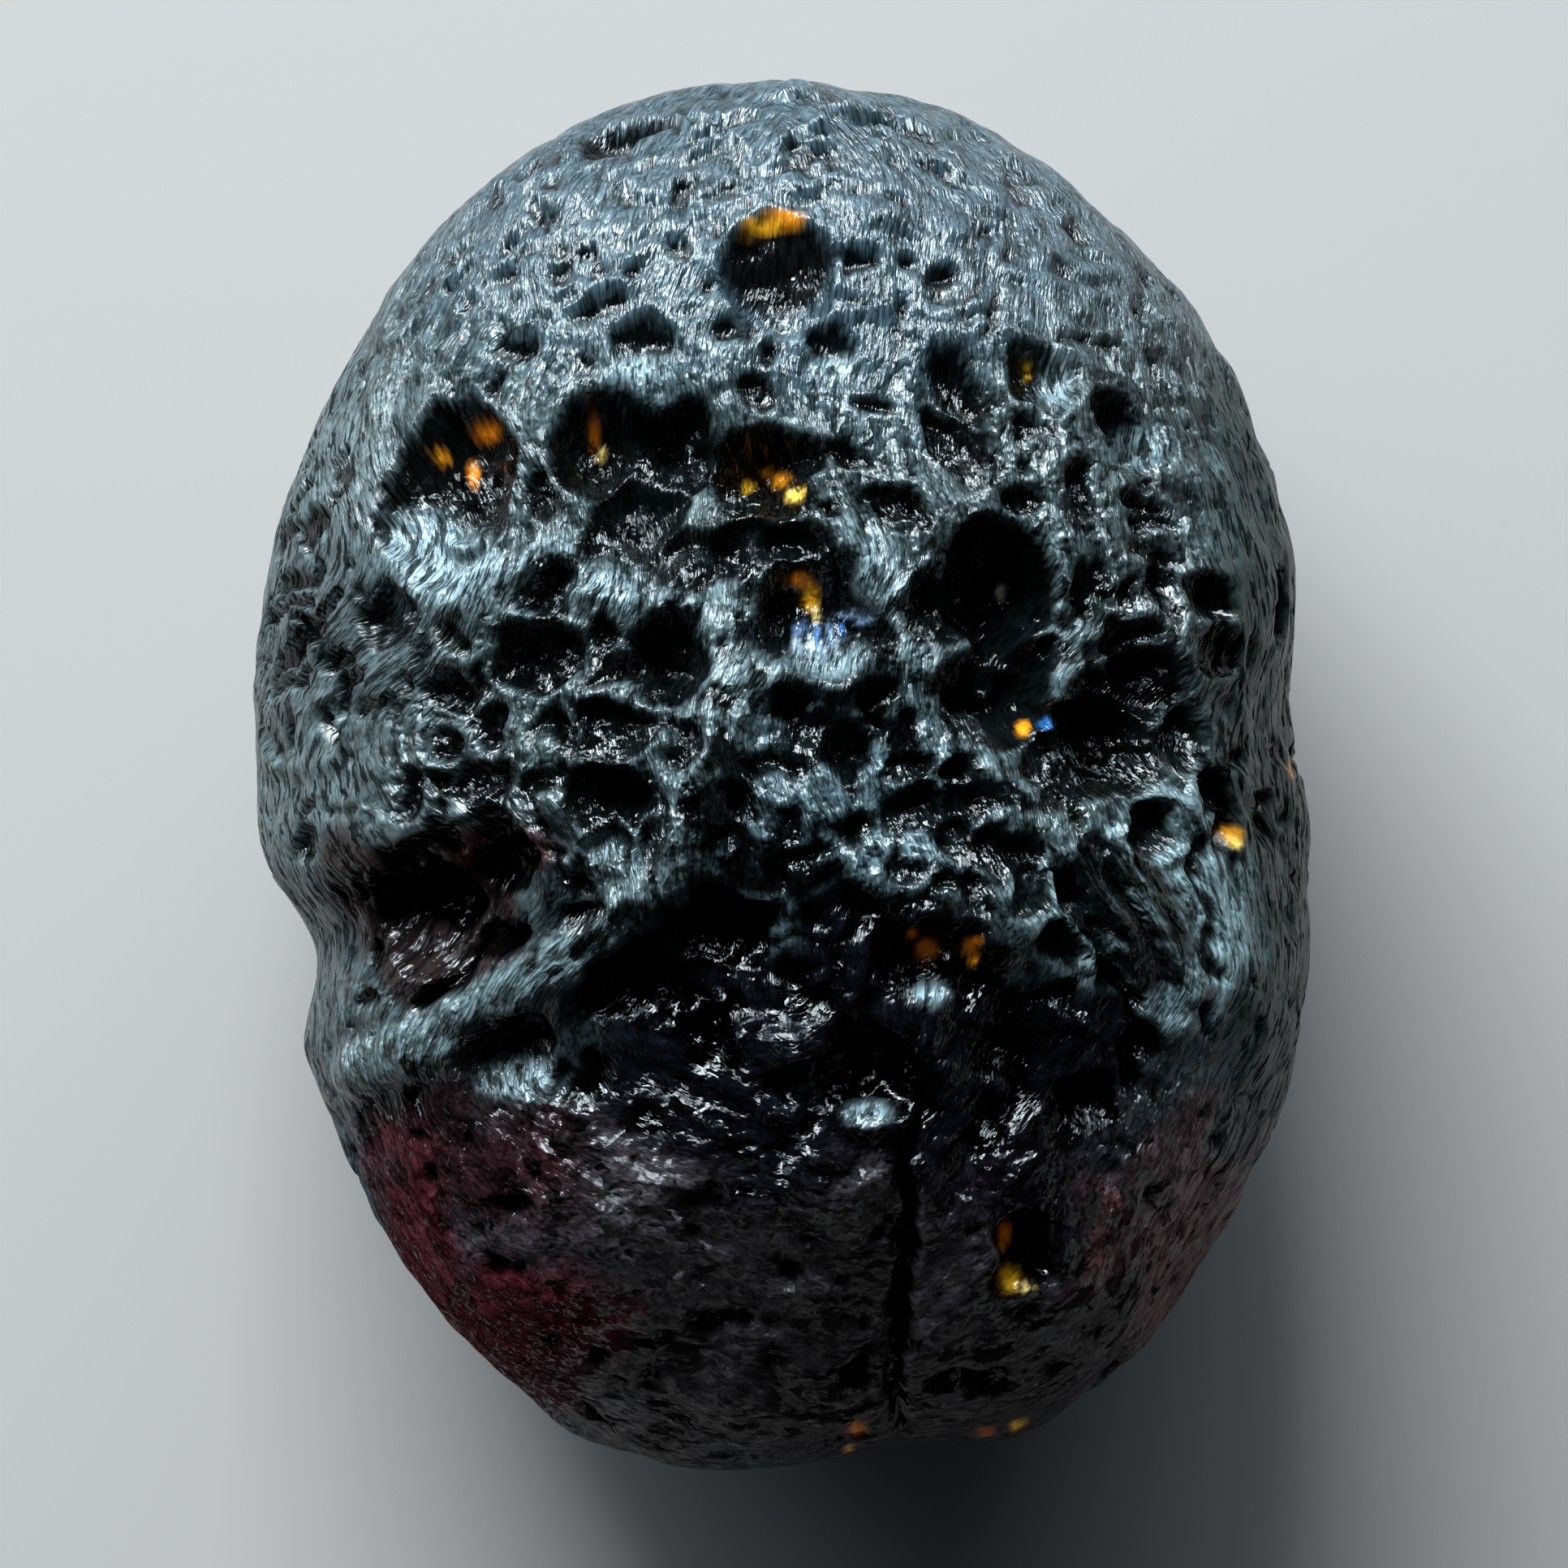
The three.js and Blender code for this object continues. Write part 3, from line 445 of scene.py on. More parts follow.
KNOBS = np.array([  # x, y, half width, half length, turn, height
    (-7.6, 20.25, 0.35, 0.3, 0, 0.25), (-13.85, 1.3, 0.3, 0.3, 0, 0.3), (4.0, 1.7, 0.4, 0.4, 0, 0.3),
    (0.2, -10.9, 0.8, 0.8, 0, 0.5), (1.6, -15.0, 1.0, 0.9, 0, 0.5), (-0.1, -13.4, 0.8, 0.8, 0, 0.45),
    (10.4, -0.6, 0.9, 0.8, 0, 0.4), (4.1, -4.5, 0.5, 0.9, 30, 0.5), (6.5, -3.1, 0.7, 0.5, 0, 0.4),
    (8.1, -4.8, 0.8, 0.6, 0, 0.4), (12.6, -10.0, 0.5, 0.5, 0, 0.3), (9.2, -13.0, 0.5, 0.5, 0, 0.3),
    (5.6, 7.6, 0.6, 0.8, 0, 0.5),
])
GROOVES = [  # depth, half width, places of the line
    (1.1, 0.45, [(5.7, -13.3), (5.1, -15.6), (4.95, -18.4), (4.9, -21.0), (4.7, -23.2), (4.8, -26.2)]),
    (0.8, 0.4, [(13.0, -3.4), (13.9, -5.2), (15.2, -8.2)]),
    (0.9, 0.45, [(11.7, 3.0), (11.9, 0.5), (11.7, -2.2), (12.3, -3.6)]),
    (0.6, 0.3, [(11.3, -4.6), (12.6, -6.8), (14.3, -9.2)]),
    (0.6, 0.36, [(-21.0, 3.9), (-20.1, 4.8), (-18.7, 5.9)]),
    (0.5, 0.34, [(-20.8, 6.3), (-20.1, 6.8), (-19.4, 7.2)]),
    (0.5, 0.34, [(-20.5, 7.3), (-19.9, 7.9), (-19.3, 8.4)]), (0.5, 0.32, [(-19.1, 6.2), (-18.2, 7.3)]),
    (0.5, 0.32, [(-20.9, 3.0), (-20.0, 3.6), (-19.3, 4.4)]), (0.5, 0.34, [(-18.15, 5.0), (-18.25, 4.0)]),
    (0.5, 0.36, [(-18.1, 2.7), (-17.3, 3.8)]), (0.4, 0.3, [(-17.0, 2.7), (-16.0, 3.3)]),
    (0.4, 0.3, [(-20.4, 9.2), (-19.8, 10.0)]), (0.4, 0.3, [(-19.4, 9.6), (-18.7, 10.5)]),
    (0.4, 0.3, [(-19.9, 11.2), (-19.2, 12.2)]), (0.4, 0.3, [(-18.4, 11.4), (-17.8, 12.6)]),
    (0.5, 0.3, [(7.2, 6.0), (7.5, 3.2), (8.2, 1.6)]), (0.3, 0.25, [(8.3, 21.8), (8.5, 19.6), (8.6, 17.6)]),
    (0.25, 0.22, [(7.7, 22.6), (7.8, 20.4), (7.6, 18.4)]), (0.25, 0.22, [(9.3, 22.4), (9.4, 20.6)]),
    (1.1, 0.5, [(-14.7, -9.1), (-13.2, -8.2), (-11.6, -7.0), (-10.4, -6.0)]),
    (0.3, 0.26, [(14.4, -3.2), (15.6, -5.4), (16.3, -7.8)]),
    (0.4, 0.28, [(12.2, -5.8), (13.3, -7.6), (14.2, -9.9)]),
    (0.3, 0.26, [(16.4, -3.6), (17.2, -5.8), (17.5, -8.0)]),
    (0.3, 0.26, [(12.9, -4.9), (14.6, -4.3), (15.6, -4.6)]),
    (0.3, 0.26, [(13.6, -6.9), (15.0, -6.3), (16.2, -6.6)]),
    (0.3, 0.26, [(14.4, -8.8), (15.6, -8.1), (16.8, -8.3)]),
]


def lip_height(points):
    """The highest lip at each point: its height times e to the power of minus the square of the distance
    from its oval line over the lip's width."""
    high = np.zeros(len(points))
    for x, y, wide, long, turn, height in LIPS:
        u, v = turned(points[:, 0] - x, points[:, 1] - y, turn)
        off = (np.hypot(u / wide, v / long) - 1) * min(wide, long)
        high = np.maximum(high, height * np.exp(-((off / LIP_WIDTH) ** 2)) * (points[:, 2] > 0))
    return high


def groove_depth(points):
    """The deepest groove under each point: a bowl of the distance to its line over its half width."""
    depth = np.zeros(len(points))
    for deep, width, line in GROOVES:
        inside = np.maximum(1 - (line_distance(points, line) / width) ** 2, 0)
        depth = np.maximum(depth, deep * inside**STEEPNESS)
    return depth


print(len(LIPS), "lips,", len(KNOBS), "knobs,", len(GROOVES), "grooves")

# %% [markdown]
# ## Flow lines
# Molten glass pulled into threads keeps them as fine lines. On this stone they run down over the cap, along
# both sides and round the lower end, like nested letters U. A direction can't be given to a noise, but its
# coordinates can be bent: one number counts the lines across, one runs along them, and a third only breaks
# the mirror between the two sides.

# %% Flow coordinates
TURN_Y = -8.0  # below this line the flow turns round the lower end
LEANS = [  # x, y, radius, lean to the right for each mm upwards
    (-20.0, 5.0, 7.0, 0.9), (-10.0, -8.0, 6.0, 0.7), (13.5, -5.0, 6.0, -0.8), (8.5, 1.0, 4.5, -0.6),
    (-9.0, 21.0, 6.0, -0.3), (-13.0, 12.0, 4.0, -0.5), (3.0, 9.5, 3.0, -0.5),
]
RIGHT_SIDE, BELOW_CAP = (11, 18), (20, 12)  # between these X and Y the lines bow out with the right flank
BOW_LENGTH, BOW_END = 31, 0.9  # half length of the oval that they follow, and the share of it that is used
WAVERS = [(0.5, 0, 0.43, 0, 0.9), (0.25, 0.41, 0.91, 0.3, 2.0)]  # as the slow waves, but sideways
TURN_WAVER = (0.8, 0.36, 0.5)  # the same for the line of the turn, along X alone
RISE_LIMIT, RISE_SOFTNESS = 9, 3  # the height over which it no longer counts, and how softly it stops
MIRROR_BREAK = 0.45  # how fast the third number grows along X


def smooth_step(low, high, value):
    """0 below low, 1 above high and 3t squared - 2t cubed between."""
    t = np.clip((value - low) / (high - low), 0, 1)
    return t * t * (3 - 2 * t)


def soft_minimum(value, limit, softness):
    """The smaller of a value and a limit, rounded off where they meet: half of their sum less the length of
    the diagonal over their difference and the softness."""
    return 0.5 * (value + limit - np.hypot(value - limit, softness))


def flow_coordinates(points):
    """Across is the distance from the half line that runs up the middle from where the flow turns, leaned
    over here and there, less the height up to a softly kept limit, so that the steep flanks have lines too.
    Along is the height over that turn, or the arc's length round it."""
    x, y, z = points.T
    lean = np.zeros(len(points))
    for cx, cy, radius, amount in LEANS:
        lean += amount * (y - cy) * np.exp(-((x - cx) ** 2 + (y - cy) ** 2) / radius**2)
    beside = smooth_step(*RIGHT_SIDE, x) * smooth_step(*BELOW_CAP, y) * (z > 0)
    bow = 1 / np.sqrt(1 - np.minimum(np.abs(y) / BOW_LENGTH, BOW_END) ** 2)
    x = x - lean + beside * x * (bow - 1)
    x = x + sum(size * np.sin(kx * x + ky * y + kz * z + phase) for size, kx, ky, kz, phase in WAVERS)
    size, k, phase = TURN_WAVER
    below = np.minimum(y - TURN_Y + size * np.sin(k * x + phase), 0)
    ring = np.hypot(x, below)
    along = np.where(below < 0, -ring * np.arctan2(-below, np.abs(x)), y - TURN_Y)
    return np.stack([ring - soft_minimum(z, RISE_LIMIT, RISE_SOFTNESS), along, MIRROR_BREAK * x], 1)


print("across, along and third of the four ends:", flow_coordinates(ends).round(1).tolist())

# %% [markdown]
# Where nature is uneven, a chorus of many sine waves stands in for it. Its waves have all lengths between two
# limits, and along the flow they are stretched. Blender has noises of its own, but its Python ones take one
# point at a time, and a chorus takes them all at once.

# %% A chorus of waves
PUSH_WAVES = 40


def chorus(coordinates, count, shortest, longest, stretch, seed):
    """A natural unevenness from -1 to 1 or so: many sine waves whose lengths lie between two limits, with
    random directions and starts. They are stretched along the flow."""
    rng = np.random.default_rng(seed)
    length = shortest * (longest / shortest) ** rng.random(count)
    way = unit(rng.normal(size=(count, 3))) * (2 * np.pi / length)[:, None] * (1, 1 / stretch, 1)
    start = rng.random(count) * 2 * np.pi
    total = np.zeros(len(coordinates))
    for w, s, share in zip(way, start, length / longest):
        total += share * np.sin(coordinates @ w + s)
    return total * np.sqrt(2 / ((length / longest) ** 2).sum())


def jostled(points, size, shortest, longest, seeds):
    """Points pushed about by three choruses, one for each axis, and the pushes themselves."""
    push = np.stack([chorus(points, PUSH_WAVES, shortest, longest, 1, seed) for seed in seeds], 1)
    return points + size * push, push


print("pushes at the four ends:", jostled(ends, 1, 1, 4, (1, 2, 3))[1].round(1).tolist())

# %% [markdown]
# ## Broken facets
# In the crowded middle the glass has flaked between the bubbles and left small slanting faces. A noise makes
# round bumps there, so each facet is made as a low dome round a seed of its own instead. The domes lean, and
# where two of them meet the higher one wins, which gives the creases between real facets.

# %% Broken facets
FACETS, FACET_LOWEST, FACET_JOSTLE, FACET_SEED = 1500, -0.3, 0.02, 31  # how many, how far down, how uneven
FACET_SIZE, FACET_STRETCH, DOMING = 1.5, 1.7, 0.3  # mm across, how much longer along the flow, how round
FACET_REACH = 2  # how many sizes round its seed a dome is looked for


def facet_height(flow):
    """The facets, from about -1 to 1: round each seed the offset times its lean, less the doming times the
    offset's square, and the highest of them. They are longer along the flow, as its coordinates are
    shortened that way."""
    rng = np.random.default_rng(FACET_SEED)
    ways = unit(spiral_directions(FACETS, FACET_LOWEST, 1) + rng.normal(0, FACET_JOSTLE, (FACETS, 3)))
    seeds = flow_coordinates(oval_points(ways)) / (1, FACET_STRETCH, 1)
    leans = rng.uniform(-1, 1, (FACETS, 3))
    places = flow / (1, FACET_STRETCH, 1)
    high = np.full(len(places), -1.0)
    for seed, lean in zip(seeds, leans):
        offset = (places - seed) / FACET_SIZE
        near = np.flatnonzero(np.abs(offset).max(1) < FACET_REACH)
        offset = offset[near]
        high[near] = np.maximum(high[near], offset @ lean - DOMING * (offset**2).sum(1))
    return high


print(FACETS, "facets, at the four ends", facet_height(flow_coordinates(ends)).round(2))

# %% [markdown]
# ## Swells across the cap
# The smooth cap is rippled crosswise, as if the melt had wrinkled while it slid. The swells are a sine of the
# place along Y, on lines that bow a little. A plain sine would roll too evenly, so some of a wave at double
# the rate is added, which makes one side of each swell steeper than the other.

# %% Swells across the cap
SWELL_HEIGHT, SWELL_SPACING = 0.14, 1.4
SWELL_BOW, SWELL_PUSH = 0.012, 0.4  # how they bend off the middle, and how uneven they are
OVERTONE = 0.3  # share of the wave at double the rate
SWELL_FROM, SWELL_OVER = (14, 19), (2, 6)  # they fade in between these Y and these heights
SWELL_RIM, RIM_GAIN = (22, 27), 1.5  # and grow by this share towards the rim
PATCHY, PATCHY_SWING, PATCHY_RANGE = 0.8, 0.7, (0.1, 1.2)  # their mean strength, how it varies, its limits


def swells(points, push):
    """The swells: the sine of a full turn for each spacing, plus the overtone's share of that at double the
    rate, times how strong they are there. The push breaks them up and makes them patchy."""
    x, y, z = points.T
    cap = smooth_step(*SWELL_FROM, y) * (z > 0)
    cap *= smooth_step(*SWELL_OVER, z) * (1 + RIM_GAIN * smooth_step(*SWELL_RIM, y))
    patchy = np.clip(PATCHY + PATCHY_SWING * push[:, 0], *PATCHY_RANGE)
    turn = 2 * np.pi * (y + SWELL_PUSH * push[:, 1] + SWELL_BOW * x * x) / SWELL_SPACING
    return cap * patchy * (np.sin(turn) + OVERTONE * np.sin(2 * turn))


print("swells, mm:", SWELL_HEIGHT, "high and", SWELL_SPACING, "apart")

# %% [markdown]
# ## The whole skin
# Everything is now laid on the smooth stone at once. The skin moves inwards by the deepest large pit or
# groove and the deepest small pit under each point, and out or in by knobs, lips, swells, lines, lumps,
# facets and creases. A crease is where a slow unevenness passes zero. A crest keeps most of a pit's depth
# off, because the old skin still stands there. The pits are looked up at places that are pushed about, so
# that none is quite round.

# %% The whole skin
PUSH, PUSH_LENGTHS, PUSH_SEEDS = 0.2, (1.2, 4.0), (21, 22, 23)  # how far, over which lengths, and the dice
LIP_PUSH = 0.08  # lips are pushed less
CREST_GUARD, GUARD_SIDE = 0.85, (0.5, 1.1)  # share of depth that a crest keeps off, fading over its side
LINE_HEIGHT, LUMP_HEIGHT, CREASE_DEPTH, FACET_HEIGHT = 0.03, 0.06, 0.2, 0.5
LINES = {"count": 60, "shortest": 0.9, "longest": 2.6, "stretch": 4, "seed": 11}
LUMPS = {"count": 60, "shortest": 1.4, "longest": 5.0, "stretch": 1, "seed": 12}
CREASES = {"count": 50, "shortest": 1.8, "longest": 4.0, "stretch": 1.8, "seed": 13}
# Painted shade: creases and the troughs of the swells are darkened like pits, most in the crowded middle, and
# lips get a painted highlight.
FACETS_OUTSIDE, CREASES_OUTSIDE, PAINTED_SHADE_OUTSIDE = 0.15, 0.4, 0.3  # strengths outside the crowded middle
CREASE_PAINTED_SHADE, SWELL_PAINTED_SHADE = 0.4, 0.17  # a crease or a trough is as dark as a pit of this depth
LIP_PAINTED_HIGHLIGHT = 2  # a lip is as much lighter as this many times its height is deep


def crest_cover(points, inner, outer):
    """1 on the tops of the crests and 0 beside them, fading between two shares of their half width."""
    cover = np.zeros(len(points))
    for _, width, line in CRESTS:
        cover = np.maximum(cover, 1 - smooth_step(inner * width, outer * width, line_distance(points, line)))
    return cover


def stone_points(directions):
    """The pitted stone: the smooth one moved along its outward directions by the sum of what stands out less
    what is cut in. Gives the points, their flow coordinates and their painted shade, as a depth of pit."""
    points = skin_points(directions)
    flow = flow_coordinates(points)
    pushed, push = jostled(points, PUSH, *PUSH_LENGTHS, PUSH_SEEDS)
    basins = listed_depth(pushed, BASINS, skew=BASIN_SKEW)
    cups = listed_depth(pushed, CUPS, CUP_STEEPNESS, CUP_SKEW)
    large = np.maximum(bowl_depth(pushed, PIT_DIRECTIONS, PIT_SIZES, skew=SKEW), groove_depth(pushed))
    small = bowl_depth(pushed, small_directions, small_sizes, SMALL_STEEPNESS, SKEW)
    pitted = (basins + cups + large + small) * (1 - CREST_GUARD * crest_cover(pushed, *GUARD_SIDE))
    knobs = listed_depth(pushed, KNOBS)
    lips = lip_height(points + LIP_PUSH * push)
    bands = swells(points, push)
    creases = 1 - np.minimum(np.abs(chorus(flow, **CREASES)), 1)
    crowd = crowding(points)
    out = knobs + lips + SWELL_HEIGHT * bands
    out += LINE_HEIGHT * chorus(flow, **LINES) + LUMP_HEIGHT * chorus(points, **LUMPS)
    out += FACET_HEIGHT * more_in_crowd(FACETS_OUTSIDE, crowd) * facet_height(flow)
    out -= CREASE_DEPTH * more_in_crowd(CREASES_OUTSIDE, crowd) * creases**3
    # Painted shade, as a depth of pit: pits, creases and swell troughs darken, and knobs and lips lighten as
    # painted highlights.
    painted_shade = large + small - knobs - LIP_PAINTED_HIGHLIGHT * lips + SWELL_PAINTED_SHADE * np.maximum(-bands, 0)
    painted_shade += CREASE_PAINTED_SHADE * more_in_crowd(PAINTED_SHADE_OUTSIDE, crowd) * creases**3
    return points + (out - pitted)[:, None] * outward(points), flow, painted_shade


# %% [markdown]
# ## The mesh
# A ball of latitude and longitude lines crowds its faces at the poles. A box blown up into a ball has even
# ones all over: the box's surface is a lattice of whole numbers, each number is spread to an even angle, and
# each corner that two faces share is one vertex, so the mesh is closed.

# %% Blow up a box
GRID = (128, 170, 92)  # cells of the box along X, Y and Z
UPPER_SHARE = 0.32  # how far the ball's middle is raised, which gives the upper side more of the faces


def box_lattice(cells):
    """The whole-number points on a box's surface, and its quads as indices into them. A quad is four
    neighbours on one of the six faces, wound so that it faces outwards."""
    shape = tuple(c + 1 for c in cells)
    i, j, k = np.indices(shape)
    rim = (i == 0) | (i == cells[0]) | (j == 0) | (j == cells[1]) | (k == 0) | (k == cells[2])
    index = np.full(shape, -1)
    index[rim] = np.arange(rim.sum())
    quads = []
    for axis in range(3):
        for end in (0, cells[axis]):
            face = np.take(index, end, axis=axis)
            ring = [face[:-1, :-1], face[1:, :-1], face[1:, 1:], face[:-1, 1:]]
            if (end == 0) != (axis == 1):
                ring = ring[::-1]
            quads.append(np.stack([corner.ravel() for corner in ring], 1))
    return np.argwhere(rim), np.concatenate(quads)


lattice, quads = box_lattice(GRID)
even = np.tan((2 * lattice / np.array(GRID) - 1) * np.pi / 4)
directions = unit(unit(even) + (0, 0, UPPER_SHARE))
plan, flow, painted_shade = stone_points(directions)
print(len(plan), "vertices,", len(quads), "quads")

# %% [markdown]
# The stone is set where the solid is: over the middle of its box, cut level at its lowest place and down on
# that flat spot. The points before this shift are kept as the plan, because markings are placed from the
# middle of the widest section.

# %% Set the stone down
def make_piece(name, points_mm, faces):
    """A mesh object at the origin whose vertices are the points in metres, smooth all over."""
    mesh = bpy.data.meshes.new(name)
    mesh.from_pydata((points_mm / METRE).tolist(), [], faces.tolist())
    mesh.validate()
    mesh.polygons.foreach_set("use_smooth", np.ones(len(mesh.polygons), bool))
    piece = bpy.data.objects.new(name, mesh)
    bpy.context.scene.collection.objects.link(piece)
    return piece


points = plan.copy()
points[:, 2] = np.maximum(points[:, 2], points[:, 2].min() + REST_CUT)
low, high = points.min(0), points.max(0)
shift = np.array([*((NODE_LOW + NODE_HIGH - low - high) / 2)[:2], NODE_LOW[2] - low[2]])
points += shift
stone = make_piece("tektite_stone", points, quads)
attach(stone, "root")
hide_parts("tektite")
print("stone, mm:", points.min(0).round(2), points.max(0).round(2), "shift", shift.round(3))

# %% [markdown]
# ## Colours of the skin
# Glass this dark has hardly a colour of its own. What shows is its skin: satin and blue-grey where the soil
# has etched it, and black in the pits. The colours also carry painted light: painted shade in the pits and
# hollows, painted highlights on the crests and lit faces, and maroon low on the flanks, a painted reflection
# of something red beside the stone. The vertices could be painted by hand. Here soft ovals are laid over the
# stone one after the other, so that each place stays easy to move. A coat is four values for each vertex:
# red, green, blue and how satin the skin is.
#
# An oval's edge would show as an oval, so the places at which wide patches are looked up are pushed about
# first, which frays their edges.

# %% Patches of colour
SATIN = (0.042, 0.060, 0.063)  # the weathered skin
CROWD_GLOSS = 0.6  # share of the satin that the broken faces of the crowded middle have lost
PATCHES = [  # x, y, half width, half height, softness, share of satin skin, colour
    (0.0, 24.0, 17.0, 9.0, 0.4, 0.25, (0.034, 0.056, 0.068)),
    (20.4, 2.0, 3.2, 17.0, 0.4, 0.9, (0.016, 0.024, 0.020)),
    # Lighter on the left flank, a painted highlight of the side the light comes from.
    (-20.0, 5.0, 3.6, 12.0, 0.4, 1.0, (0.056, 0.076, 0.079)),
    (1.0, -20.0, 20.0, 9.5, 0.3, 1.2, (0.046, 0.038, 0.043)),
    # Black in the lower middle, which faces away from the lamps: painted shade.
    (3.0, -10.6, 14.0, 6.4, 0.3, 0.2, (0.003, 0.003, 0.005)),
    # Paler in the middle and on the facets to the right, painted highlights of faces that mirror the lamps.
    (1.0, -0.6, 7.0, 4.2, 0.4, 0.6, (0.075, 0.115, 0.130)),
    (14.9, -5.2, 4.2, 4.0, 0.4, 0.7, (0.250, 0.355, 0.375)),
    # Dark in the hollow over the waist and lower on the left: painted shade.
    (-13.4, -5.2, 4.4, 3.6, 0.2, 0.3, (0.014, 0.009, 0.009)),
    (-12.6, -15.2, 4.2, 3.0, 0.5, 0.3, (0.012, 0.005, 0.006)),
    # Maroon low on the left: a painted reflection of something red beside the stone.
    (-14.8, -20.2, 2.8, 4.8, 0.4, 0.2, (0.066, 0.012, 0.019)),
    (-11.2, -22.8, 4.8, 2.8, 0.4, 0.2, (0.080, 0.013, 0.021)),
    (-10.8, -15.8, 2.4, 1.6, 0.5, 0.4, (0.022, 0.008, 0.010)),
    # Black in the large pit of the cap: painted shade.
    (-0.2, 20.7, 2.2, 2.1, 0.15, 0.1, (0.004, 0.004, 0.004)),
    # Maroon by the hollow and low on the right: the same painted reflection.
    (-11.3, -3.0, 2.0, 0.9, 0.5, 0.4, (0.090, 0.020, 0.026)),
    (16.4, -19.0, 3.2, 4.4, 0.3, 0.5, (0.150, 0.056, 0.062)),
    # Black low on the right: painted shade.
    (10.2, -17.0, 3.6, 4.0, 0.4, 0.2, (0.004, 0.003, 0.005)),
]
FLANK_FADE = (-6, 0)  # heights over the widest section between which every patch fades in
FRAY, FRAY_LENGTHS, FRAY_SEEDS = 0.9, (2.5, 9.0), (41, 42, 43)
SHARP_EDGED = 2.5  # a patch of up to this half width isn't frayed


def patch_cover(points, x, y, wide, high, softness):
    """1 inside an oval of the plan and 0 outside it, with a soft edge. It fades out down the flanks, and the
    underside has none."""
    far = np.hypot((points[:, 0] - x) / wide, (points[:, 1] - y) / high)
    return (1 - smooth_step(1 - softness, 1 + softness, far)) * smooth_step(*FLANK_FADE, points[:, 2])


def lay_over(coat, cover, values):
    """Lays values over a coat's own, in place: each moves towards the new one by the cover's share."""
    coat += cover[:, None] * (np.array(values) - coat)


coat = np.column_stack([np.tile(SATIN, (len(plan), 1)), 1 - CROWD_GLOSS * crowding(plan)])
frayed, _ = jostled(plan, FRAY, *FRAY_LENGTHS, FRAY_SEEDS)
for x, y, wide, high, softness, satin, tint in PATCHES:
    place = frayed if wide > SHARP_EDGED else plan
    lay_over(coat, patch_cover(place, x, y, wide, high, softness), (*tint, satin))
print(len(PATCHES), "patches, mean colour", coat[:, :3].mean(0).round(3))

# %% [markdown]
# The tops of the crests are paler, a painted highlight. Little light comes back out of a pit, and the bare
# glass in it is glossy and nearly black, so pits, creases and swell troughs are darkened as painted shade.
# Some lower walls of large pits face the lamps and get a pale colour, a painted highlight of the light on
# their fine ridges.

# %% Painted highlights on crests and pit walls, painted shade in pits
# Paler tops of the crests: a painted highlight.
CREST_HIGHLIGHT, CREST_HIGHLIGHT_SATIN = (0.094, 0.132, 0.140), 0.8
CREST_HIGHLIGHT_SIDE = (0.7, 1.3)  # shares of a crest's half width between which the wear fades
# Painted shade in pits, where the bare glass is also nearly black.
PAINTED_SHADE_DEPTHS = (0.1, 0.34)  # depths of a pit between which it grows dark
PAINTED_SHADE_LOSS = np.array([0.95, 0.95, 0.95, 0.75])  # shares of a coat's values that the deepest glass loses
# Pale lower walls of large pits: a painted highlight.
HIGHLIGHT_WALLS = [  # x, y, half width, half height
    (-13.4, 8.2, 2.4, 1.3), (-6.9, 7.5, 1.3, 0.9), (3.9, 8.4, 0.9, 1.2), (1.9, 4.7, 1.4, 0.7),
    (11.0, 16.0, 0.6, 1.1), (14.6, 13.2, 1.2, 0.8), (3.4, -13.6, 0.8, 0.45), (-10.6, -12.2, 1.5, 0.8),
    (6.0, -8.8, 0.7, 0.4), (2.0, 16.4, 0.9, 0.4), (-5.7, 16.4, 1.2, 0.5), (-7.3, -2.9, 0.8, 0.5),
    (-14.4, 9.6, 1.4, 1.0),
]
HIGHLIGHT_WALL_COLOUR, HIGHLIGHT_WALL_SATIN, HIGHLIGHT_WALL_SOFTNESS = (0.19, 0.26, 0.28), 0.12, 0.6

lay_over(coat, crest_cover(plan, *CREST_HIGHLIGHT_SIDE), (*CREST_HIGHLIGHT, CREST_HIGHLIGHT_SATIN))
# Painted shade darkens the coat by depth and takes most of its satin.
coat *= 1 - PAINTED_SHADE_LOSS * smooth_step(*PAINTED_SHADE_DEPTHS, painted_shade)[:, None]
for oval in HIGHLIGHT_WALLS:
    lay_over(coat, patch_cover(plan, *oval, HIGHLIGHT_WALL_SOFTNESS), (*HIGHLIGHT_WALL_COLOUR, HIGHLIGHT_WALL_SATIN))
print("share of vertices in deep glass:", (painted_shade > PAINTED_SHADE_DEPTHS[1]).mean().round(2))
